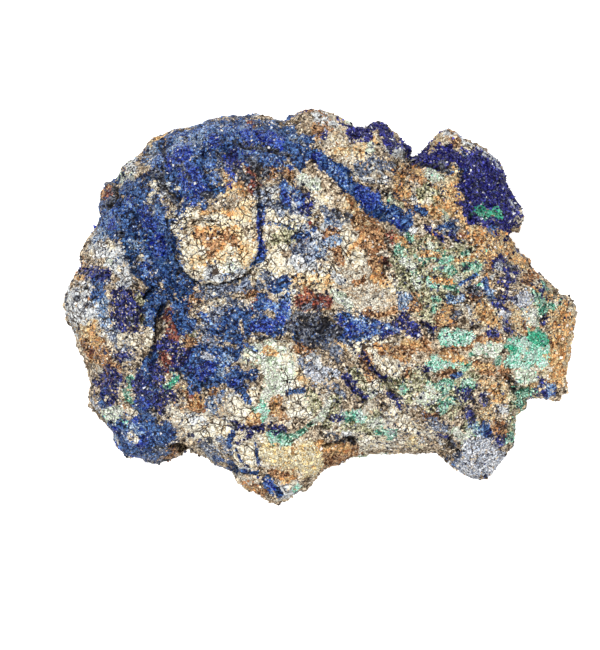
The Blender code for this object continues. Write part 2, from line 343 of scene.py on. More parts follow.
def cells(points, size, seed=0):
    """Cells around points scattered one to a lattice box: the distance to the nearest and to the
    next nearest, in millimetres, and a random number that belongs to the nearest."""
    place = points @ TURNED / size
    home = np.floor(place).astype(np.int64)
    nearest = np.full(len(points), 9.0)
    following = nearest.copy()
    owner = np.zeros(len(points))
    for step in itertools.product((-1, 0, 1), repeat=3):
        i, j, k = (home + step).T
        seat = [axis + scrambled(i, j, k, seed + turn) for turn, axis in enumerate((i, j, k))]
        away = np.sqrt(sum((place[:, axis] - seat[axis]) ** 2 for axis in range(3)))
        closer = away < nearest
        following = np.where(closer, nearest, np.minimum(following, away))
        owner = np.where(closer, scrambled(i, j, k, seed + 5), owner)
        nearest = np.minimum(nearest, away)
    return nearest * size, following * size, owner


print("Smooth noise over the top spreads by", round(float(noise(lump[:UPPER_COUNT], 6.0).std()), 2))

# %% [markdown]
# ## Where each mineral lies
#
# On the real rock each mineral took over its own hollows and seams, one after another. A painted
# texture could show that. Here each mineral is a list of strokes on the plan: a radius, then the x
# and y of each point that the brush goes through, in millimetres. Strokes stay sharp at any size
# and can steer the shape as well as the colour. Noise frays their edges afterwards. A later mineral
# lies over an earlier one.

# %% Strokes of the pale rock, the rust and the nodules
STROKES = {
    "clay": (
        (1.4, -9, -16.4, -8.4, -18.8, -6, -19.8), (1.6, -15.6, -15.4, -16.4, -18),
        (3, 2.5, 29.5, 5, 28, 8, 28.3), (2.4, 8.3, 26, 8, 24), (3.2, 4.5, 7.5, 7, 5, 9.5, 5),
        (3.2, 6, 1.5, 9, 2.5, 12.5, 2), (2.6, 6.5, 15, 9.5, 13, 10.5, 9), (1.6, -19.5, 0, -17.5, 1.2),
        (1.8, -22.6, -5, -22.3, -7), (2.6, -40.5, -4.5, -38, -8.5), (1.6, -37, -4, -34.5, -5.5),
        (3.4, -24, -20, -20, -21.5, -16, -22), (3, -9, -26, -5.5, -26.8), (1.8, -14, -29.5, -11, -32),
        (1.6, -6.5, -33.5, -5, -31.5), (3.6, 42, -1, 42, -6, 41.5, -11.5),
        (3.2, 8, -22.3, 13, -21.5, 18, -21.5), (4.2, 28, 12.5, 32, 12), (2.4, 33, 9.5, 36, 8.3),
        (5, 17.5, 9, 21.5, 6, 25, 9), (2.6, 28, -0.3, 29.5, -2.5), (3, 22, 18.5, 24.5, 17),
        (3, 16.5, 21.5, 19, 21), (2.2, 21, 29.3, 23.7, 29), (1.5, -13.5, 2.8, -11.2, 2),
        (1.6, -26.5, -18, -25, -19), (2, 13, -8, 15.5, -8.5), (2.6, 6.5, -7, 9.5, -7.5, 12.5, -9.5),
        (2.6, -12.5, 17.5, -8, 18.5, -2, 18.5), (2, -8.5, 14.5, -4, 14), (1.6, 36, 1, 38.5, 4.5),
        (2, 17.5, -12.5, 16, -16), (2.6, -13, -17, -12, -23, -15, -24), (2.6, -5, -17, 0, -17, 3, -20.5),
    ),
    "cream": (
        (7.6, -17.9, 9.3), (1.7, -26, 14.5, -24, 16, -22, 16.5), (0.8, -28.5, 21, -27.5, 22.3),
        (1.3, -12, 18.8, -11.6, 18.2), (1.8, -14, 16, -12.6, 15.8), (1.2, -9, 18.5, -8, 18.8),
        (1.6, -8, 16, -5.5, 16, -3, 15.5), (2, -8, 13, -6.3, 12.2, -5.5, 13.5), (1.2, -7, 10.8, -5.8, 10.8),
        (1.6, -8, 8, -6.3, 7.3, -9.5, 6.5), (0.9, -0.5, 19.8, 1.2, 18.8), (1.5, -3, 5, 0, 5.3, 2, 5.8),
        (2.5, 5.6, 11.3, 5.8, 8.9), (0.9, -7.4, 2.3, -6, 2.9, -5.3, 2),
        (0.9, -29.9, -3, -29.2, -4.5, -29.5, -6, -30.3, -6.8), (0.8, -34.5, -5, -34.3, -6.5),
        (0.8, -31.8, -5.5, -32, -6.5), (0.8, -33.2, -18.2, -32.5, -18.7), (1.1, -32.9, -22.2, -31.9, -23),
        (1.8, -22, -20, -19.5, -21.5, -16.5, -21.3), (1.3, -13.3, -8.6, -12, -8.2),
        (2.2, -5.8, -7.2, -5.3, -10, -4.5, -12.5), (1.9, -14.2, -16.3, -13, -18.7), (1.2, -11.5, -14.5),
        (1.5, -4.7, -16.6, -3.3, -18.3, -1.7, -18.8), (0.9, -14, -22.2), (1.8, -13.2, -24.9, -12.2, -26.4),
        (1.3, -4, -23.7), (1.3, 8.3, -13, 10.5, -13.8), (1.2, 11.5, -10, 12.3, -11.3), (0.9, 2.3, 29.3),
        (0.8, 8.6, 28, 7.5, 25.3), (1.2, 12.5, -16.6, 13.2, -18), (1.5, 8.5, -23.3, 11, -23.5),
        (0.7, 25.4, 28.5, 25.8, 27.8), (1.2, 29.8, -14.3, 31.5, -14),
        (0.35, 3.5, -6, 6, -5.5, 9, -5.5, 13, -5.9), (0.9, 4.2, 19), (1.4, 6.5, -7, 10, -7.3),
        (1.3, 20, 19.8, 21.5, 21), (0.9, 11.5, 4.5, 12.5, 3), (1.2, 14.5, -21.5, 16.5, -21),
        (0.8, 34.8, -12.4, 36, -13.2),
    ),
    "chalk": (
        (1.8, -39.2, 11, -36.5, 9.6, -34.5, 8.6), (1.3, -35, 7, -33, 6, -34, 4.5),
        (1.6, -41, 4, -40.5, 2.3), (1.9, -43.3, 1.5, -43, -0.8, -40.8, -1), (0.8, -37, -4, -36, -5),
        (1, -33.5, 25, -32.5, 24), (0.6, -32, 12.6), (1.5, -15.2, 6.2, -14.2, 5.6),
        (1.2, -21.8, -19.3, -20, -19), (1.1, -19.5, -25.8), (1, -8.2, 20.5, -9, 19.8),
        (0.6, 7.4, 22.8, 9, 22), (0.7, 10.5, 23.5, 11, 22.3), (1.7, -3.3, 9, -2, 7.5),
        (0.8, 2.5, 5.4, 3.5, 4.6), (0.6, -4.5, 2.9), (1.4, -1.5, -8.8, -0.5, -10), (1.3, -15, -15.8),
        (0.5, -15.5, -27.6, -14, -28.2, -12.5, -28.5), (1.1, -6.6, -30.8, -5.8, -32.8), (0.8, -4.2, -30.7),
        (0.8, 4.5, -20.4), (1, 5, -22.3), (0.7, 16.4, 19, 17.6, 18.7),
        (0.9, 21.8, 30.7, 24.5, 30.2, 26.3, 29), (0.5, 25.7, 0.5, 26.3, -1, 25.8, -2.8), (0.5, 30, 5.2),
        (1.1, 31.5, -17, 32.2, -18), (0.8, 32.6, -16), (0.5, 21.2, -24), (0.5, 17.8, -23),
        (1.2, 0, 33.5, 2.5, 32.3), (0.8, 15, 13.3, 16.6, 13.6), (1.2, 13, 28, 14, 27),
        (0.9, -27.7, 19.8, -26.5, 22), (1.5, -2, 12.5, 0.5, 11.5), (1.3, -6.5, 17.4, -4, 17.8),
        (1.2, 1, 14.5, 2.5, 14), (1.4, -19, 6, -17.5, 5.3), (1.2, -37.8, -1.8, -38.5, 0),
        (1.2, 25, -25.8, 26.5, -24.8),
    ),
    "ochre": (
        (1.6, -31, 28, -29, 29.6, -27.5, 30), (2.3, 23.4, 22.2, 24, 20.5, 24.8, 18, 25.4, 15.8),
        (2, 22, 18.5, 21.5, 16.8), (2.8, 28, 12.8, 31, 12.6, 32.6, 12), (2.2, 31, 10.5, 33.5, 9.5, 36, 8.3),
        (2.2, 28.3, -0.3, 29.6, -2), (3, 42, -1.8, 42, -6, 42, -10), (1.7, 42, -11.5, 41.2, -13),
        (1.6, 34.8, -0.8, 35, -2.5), (1.6, 29.8, -13.4, 31.5, -13.6, 31.8, -15.8),
        (1.2, 28.8, -18.2, 29.6, -19), (1.2, 34.8, 15.5, 34.2, 14.6), (1.3, 8, 25.4, 7.5, 24.4),
        (1.6, -16, 21, -14, 22.4), (1.5, -41, -5, -39.6, -3.4), (1.4, -13.4, 10.2, -13, 9),
        (1.2, 21.5, 10.8), (1.3, -7, -28.9, -5.5, -28.8), (1, 20.6, 29.5), (1.5, -5.5, -25.5),
        (1.5, 36.8, -15.3, 38.2, -15), (1.4, 33.6, 13.6), (1, -3, -11.5, -2.3, -12.8),
        (1.7, -21.5, 12.5, -18, 11.6, -15, 12.4), (0.9, -21.5, 8, -17, 8.3), (1.2, 5, 19, 5.8, 17.6),
        (1, 3, 27.5, 4.5, 27), (1.2, 8.5, 29.6, 6.8, 27.2), (1.2, 0.6, 4.2, -4, 4.8),
        (1.8, 9, 12.5, 7.8, 14.5), (1, 11.4, 4.5), (1, -10.6, 12.6), (1.2, -12.5, 18, -13.5, 16),
        (1.3, 19.2, 17.5, 17.6, 20), (2.4, 21.6, 20.8, 22.6, 18.6, 23.2, 16),
    ),
    "rust": (
        (2, -40.2, -6.3, -38, -8, -36.8, -10), (1, -32.4, 14, -31.6, 14.8), (0.8, -41.6, 7.3),
        (0.9, -33, 2.3), (1.5, -23, 1, -22, 2), (1.6, -21.8, -16, -21, -17), (1.1, -18.5, -14.8),
        (0.9, -24, -13.7), (0.8, -36, -17.6, -34.8, -18), (1.3, -27, -25.3, -26, -25.6),
        (1.3, -21, 12.4, -18, 11.3), (0.9, -19, 9.2), (0.8, -16, 12.6, -14.6, 11),
        (1, -8.3, 28.4, -7.4, 28.5), (1.5, -11.6, 25, -9.3, 24.3), (1.4, -14, 22, -12.6, 21),
        (0.8, -7, 25.3, -6, 23.6, -5.5, 22.8), (1.2, -0.6, 31.4, -1, 30.5, 0.9, 31.3),
        (1.2, 13.9, 23.4, 13.6, 22), (1, 13.3, 20, 14, 18.5), (0.6, 5, 19.3, 5.6, 17.2),
        (1.5, 6.5, 15.5, 8.5, 15.6), (1.8, 8, 13.3, 10, 13, 9.3, 10.5), (1.4, 9.4, 8.5, 10.5, 6.5),
        (1, -0.6, 0.4, 1.2, 0.3), (1, 8.5, -1, 10, -1.4, 12.6, -0.6), (1, -3.6, -6.5, -2.4, -7.4),
        (0.9, 8, -8.5, 8.6, -11, 8.8, -12), (1.1, 11.5, -7.5, 15, -8.5, 15.4, -6.8),
        (1.2, -7.6, -16, -8, -17.6, -6.5, -18.6), (1, -12.6, -18.6, -11.5, -19.3),
        (1, -8.5, -28.9, -6, -29.3), (1.8, 1.3, -26, 3.5, -25.2, 4.7, -25.2), (0.9, 23.5, 29.3, 23.8, 28.8),
        (1.5, 16.8, 23, 18.6, 21.5), (0.7, 15.7, 16.3), (1.8, 28, 9.2, 28.8, 8.4),
        (1.5, 17.3, 1.7, 17, 0, 18.4, 1), (1.6, 21.2, -2, 22.4, -2.6, 21.6, -0.8),
        (1.3, 18.4, -6.4, 19, -7.5), (0.9, 21.9, -7.7, 23.2, -7.5), (0.8, 26, -6.7, 28, -5.6, 31, -5.6),
        (1.1, 37.4, 5.6, 36.4, 5), (0.9, 23.2, -10.6, 21.4, -11.8), (1.2, 27.4, -10, 29.3, -11),
        (1.2, 32.4, -11.4), (0.7, 41.5, -13, 40.2, -13), (1.1, 18.5, -18.5, 20.3, -18.4),
        (1.4, 31.4, -20.8, 32.5, -22), (1.1, -30.3, 0.6, -31.3, -1.5), (1.6, -37.5, 20.5, -37.2, 18),
        (1.2, 3.2, 8.6, 2.6, 10.5), (1.2, 24, 12.9, 25.5, 12.6), (0.9, -12.5, -30.8, -10.2, -32.4),
        (1.3, 2.5, 13, 1.6, 12), (1.1, 26.5, 2.2, 27.5, 2.6), (1.3, -22.4, -5.2, -22.3, -7),
        (1.2, -12.7, 2.6, -11.3, 2.2), (1, 24.2, 26.6), (1, 15.5, -11.8, 16.8, -12.6),
        (1.1, 19.8, 12.3, 18.6, 11.5), (0.9, 14.6, 6.4, 15.5, 5.2), (0.8, 6, 4.2, 7.8, 4.8),
        (0.8, 36.6, -3.6, 38, -3.2), (0.4, 15, 12.6, 18, 12.2, 21, 13), (0.4, 18, 7.4, 21, 6.2, 24, 7.6),
        (0.4, 16, 3.5, 19, 3, 22, 3), (0.35, 23.4, 9.6, 26, 10.4),
    ),
    "oxblood": (
        (1.1, -26.2, -1.6, -25.8, -5), (0.5, -11.6, 31.6, -11, 30.4),
        (1.2, -26.5, -1, -26.2, -3, -25.8, -4.5), (1.3, -27, -8.2, -26.4, -10),
        (0.8, -38.3, -14, -36.5, -12.5), (0.9, -13, 31.6, -11.6, 32), (0.7, -12, 28.3), (0.5, -2.3, 12),
        (0.4, -1.8, 14.8), (0.6, 12, 13, 13, 12), (1.2, -3.5, 1, -1.5, 0.6, 0.8, 1.4),
        (0.4, -11.6, 1, -11.3, -1), (0.3, 24, 13.3, 25, 12.4), (0.5, 41.8, -6.4, 42.3, -6.8),
        (0.9, -36.4, 20.6, -37, 17.6), (0.9, -12, 24, -11.5, 20.6), (0.8, -19.6, -5.8), (0.7, -22.5, -15.4),
        (0.6, 12, 7.6, 11.6, 8.4), (0.6, -39.6, -7.4),
    ),
    "vermilion": ((0.9, -2.3, 2.3, -1.7, 1.8), (0.5, -26.3, -2), (0.4, -7.6, 28.8)),
    "honey": (
        (2.1, -9, -25, -6.5, -25.7), (1.7, -1.9, -25.2, -1.4, -27.2, -2.3, -28),
        (1.1, 16.5, -22.8, 17, -24), (1, -9.6, -24.8), (0.6, -24, -13.7),
    ),
}
print("Painted so far:", ", ".join(STROKES))

# %% Strokes of slate and of the greens
STROKES |= {
    "slate": (
        (1.5, -27, 24, -25, 22.5), (1.4, -19, 24, -18, 22), (1.1, -25, 30.4, -20, 31.8, -14, 32.6, -7, 32),
        (1.3, -12, 29.5, -9, 28.5), (1.2, -5.5, 28.3, -3.5, 27), (1.9, -20, -3.5, -17.5, -1),
        (1.7, -15, 0.8, -11.5, -1.5), (1.3, -21, 3.2, -17, 3, -13, 4), (1, -15.5, 6.6),
        (1.4, -19.5, -6, -16, -7.5), (1.2, 2.5, -7.6, 4.4, -6.2), (1.3, 0.5, -6, 3, -8),
        (1.1, -36.5, -20, -34, -21), (1.3, -33, -20.5, -29.5, -23.5), (1.3, -20, -24, -19, -26),
        (1.2, -19.3, -17, -17, -15), (1.2, 7, 24, 9.5, 25.5, 12, 24.5), (1.5, 20.4, 14, 23, 13.8),
        (1.1, 24, -27, 26, -26.5), (1, -38, 12.5, -38.7, 13.5), (1.1, 14.5, 2, 14.5, 0.5),
        (1, 35, 1.3, 36, 2), (1, -34, 3.2, -32.2, 2), (1.3, -2.5, -10, 0, -12),
        (1.3, -3, 13, -0.5, 11, -4, 10.5, -2, 9, 0, 9.5), (1.1, -10.5, 19.5, -6.5, 17.3, -2.5, 16.5),
        (1.1, 0.5, 16.5, 2.5, 15), (1.2, -9, 5, -10, 3.5), (1, -35.5, -4, -33.4, -8.2), (1, -29.2, -14.5),
        (0.9, 26.4, 3.6, 28.6, 2.6), (0.8, 38.4, -14.4), (0.8, 4, -15.5, 2.5, -13.8),
        (1, -16, -25.5, -17, -23), (0.9, 19.5, -20, 21.5, -21),
    ),
    "sage": (
        (3, 16.5, 9.5, 20, 9, 22, 7), (2.6, 17.5, 6, 20, 5, 23, 4), (2, 24, 9.8, 26.5, 7.4),
        (1.8, 19.6, 1.2, 19, -1), (2.4, 18.2, -13.8, 20.5, -15.5), (2.2, 23.6, -14.2, 22.6, -17),
        (1.8, 34.5, -15.5, 35.8, -17), (1.8, 12.6, -13.4, 14.6, -14.4), (2.2, 5.5, -19.4, 8.6, -20),
        (1.6, -31, 1, -31.5, -1.5), (1.4, 18.4, 20.4, 20, 19), (1.4, -8, 12.5, -6, 12.8),
        (1.5, 25.6, 5.8, 24.4, 5), (1.6, 37.4, 1.8, 39.6, 3), (1.4, -0.8, -16.8, -1.6, -14.8),
        (1.5, 3, -17, 1.2, -19.4), (1, -28, 16.5, -28.2, 14), (1.3, 24.8, -12, 26.6, -12.2),
        (1, 26, -21, 27.6, -20.2), (1.6, 15.4, 4.6, 14.2, 8), (1, 12.3, 18.7, 13.4, 17.8),
        (0.9, -22.4, -4.2), (1.2, 33.4, -19.8, 34, -21.4), (1.2, 6.4, -11.6, 8, -15.8),
    ),
    "green": (
        (1, 35.4, -12.2, 37, -12), (0.5, 20, 7, 23, 6.4), (0.5, 25.4, 6.6, 27.6, 7.6),
        (0.5, 16.6, 9, 18, 8), (0.4, 38, 1.6, 38.4, -1.4), (0.8, -25.6, -11.2),
        (0.6, -26.8, -13.8, -25.5, -12.6, -24.5, -12), (0.7, -26.3, -14),
        (0.7, -33, -12.3, -33, -13.5, -33.8, -15, -33.3, -16.5), (0.8, -10.6, -17.4, -10, -18.6),
        (1, -7.4, -22.5, -6, -22.4, -4.8, -22.3), (0.5, -4, -22, -2.5, -21.2, -1.2, -20.5),
        (0.9, 10.5, -21, 12, -21.7, 12.5, -22.3), (0.8, 15.5, 12.4, 16, 12), (1.1, 14.2, 10.6, 14.2, 9.4),
        (0.9, 17.5, 8.4, 18, 8), (1, 21.2, 8.5, 20.3, 9), (1.1, 23.2, 6.5, 22.3, 7),
        (0.9, 25.5, 9, 25.7, 7.8), (0.9, 27.5, 6.4), (0.6, 20.3, 1.6, 19.7, -0.5),
        (0.8, 26.6, -8.2, 28.9, -7.6, 30.4, -7.4), (1.2, 33.4, -6.8, 34.6, -7.8),
        (1.3, 37.4, -5, 38.6, -5.6), (0.9, 37.5, 2.6, 37.8, 1.4), (0.6, 38.8, 1.3, 40, 1, 40.8, 0.4),
        (0.9, 39, -0.8), (0.6, 42.3, 0.3), (0.7, 39, 4.6, 39.6, 3.6), (1, 25.5, -10.3),
        (1, 21.4, -13.9, 22.3, -13), (0.9, 19.3, -13.8), (0.9, 25, -13.9, 26.2, -13.5), (0.7, 21, -16),
        (0.8, 22.9, -16.2, 22, -17, 21.5, -18), (0.8, 35, -15, 36.6, -14.5), (0.8, 35, -16.5, 36.1, -17),
        (0.8, 33.9, -22.2, 33, -23.2), (0.7, 32.2, -23.5), (1.1, 4.8, -19, 6, -18.5), (0.8, -10, -16),
        (0.8, 24, 3.2, 22, 4.4), (0.5, 12.3, 18.7), (0.9, 14.6, -14.2), (0.7, 16.4, 6.2), (0.8, 31.4, -9.2),
    ),
    "aqua": (
        (0.9, -10, -17.2), (0.8, -4, -31.6), (1, -37, -18.5, -35, -20.3), (0.8, 19.6, 23.6, 20.6, 22.8),
        (0.7, 22.4, 8.4), (0.6, 29, 10.4), (0.9, 21.2, -4.9, 23.5, -5.2, 26, -4.9),
        (0.7, 21.4, -5.9, 25.6, -5.8), (1.3, 20, -9.8, 21.6, -10), (0.6, 22.5, -9.6, 24, -9.5),
        (1, 6.6, -18.4, 7.5, -19.5), (0.5, 34.3, -19.5), (1.9, 35.2, -6.8, 36.6, -8.6, 38.8, -8.4),
        (1.5, 33.8, -9.4, 36.4, -9.8), (0.7, 28, 3.8, 28.6, 4.1), (0.8, -8.2, -22.3),
        (0.7, -34.8, -20, -34, -21.2), (0.9, 19.2, 4.2, 20.2, 4), (0.9, 27.2, -21, 28, -22),
        (0.7, -9.8, -17.8), (0.8, 12.4, -21.6),
    ),
    "mint": (
        (1, -34.2, 22, -33, 22.7), (1.4, -37.2, -19, -35.6, -18.6), (0.9, -3, 22.3, -1.3, 21.4, -0.6, 21.8),
        (2.5, -9.7, -7.5, -8.8, -10, -7.7, -12), (0.9, -9.5, -15.2, -8, -14.2), (0.8, -3, -16.2),
        (0.6, -1.8, -18.2), (0.8, -0.8, -19.5, 0.5, -18.4, 1.5, -17), (1.3, 19.4, 23.4, 20.4, 22.6),
        (0.8, 20.8, 16.5, 21.4, 16), (1, 16, 7, 15, 8.4), (1, 24.5, 5), (0.8, 19.3, 11),
        (1.3, 36.6, -0.8, 37.3, -1.7), (1.2, 27.6, -7.6, 29.4, -7.3, 30.6, -7.6),
        (0.6, 34.5, -11.6, 37, -11.6), (0.5, 36.3, -13, 38, -12.1), (1.2, 18, -15.6, 19.2, -15),
        (1.2, 24, -22, 25.5, -22.8, 26.4, -22.2), (0.6, 8.6, 28.3, 8.8, 27.3),
        (0.9, 2.4, 2.6, 4, 1.2, 5, 0.4), (0.9, 12.4, 18.9), (1.2, -15.6, 6.8), (0.7, -30.5, 11.4),
        (1.1, 10.7, -20, 8.8, -20.5), (1, 16.8, 4.6), (0.8, 9, -14.8), (0.7, 28.2, -22.8), (0.7, -37, 8.6),
    ),
}
print("Painted so far:", ", ".join(STROKES))

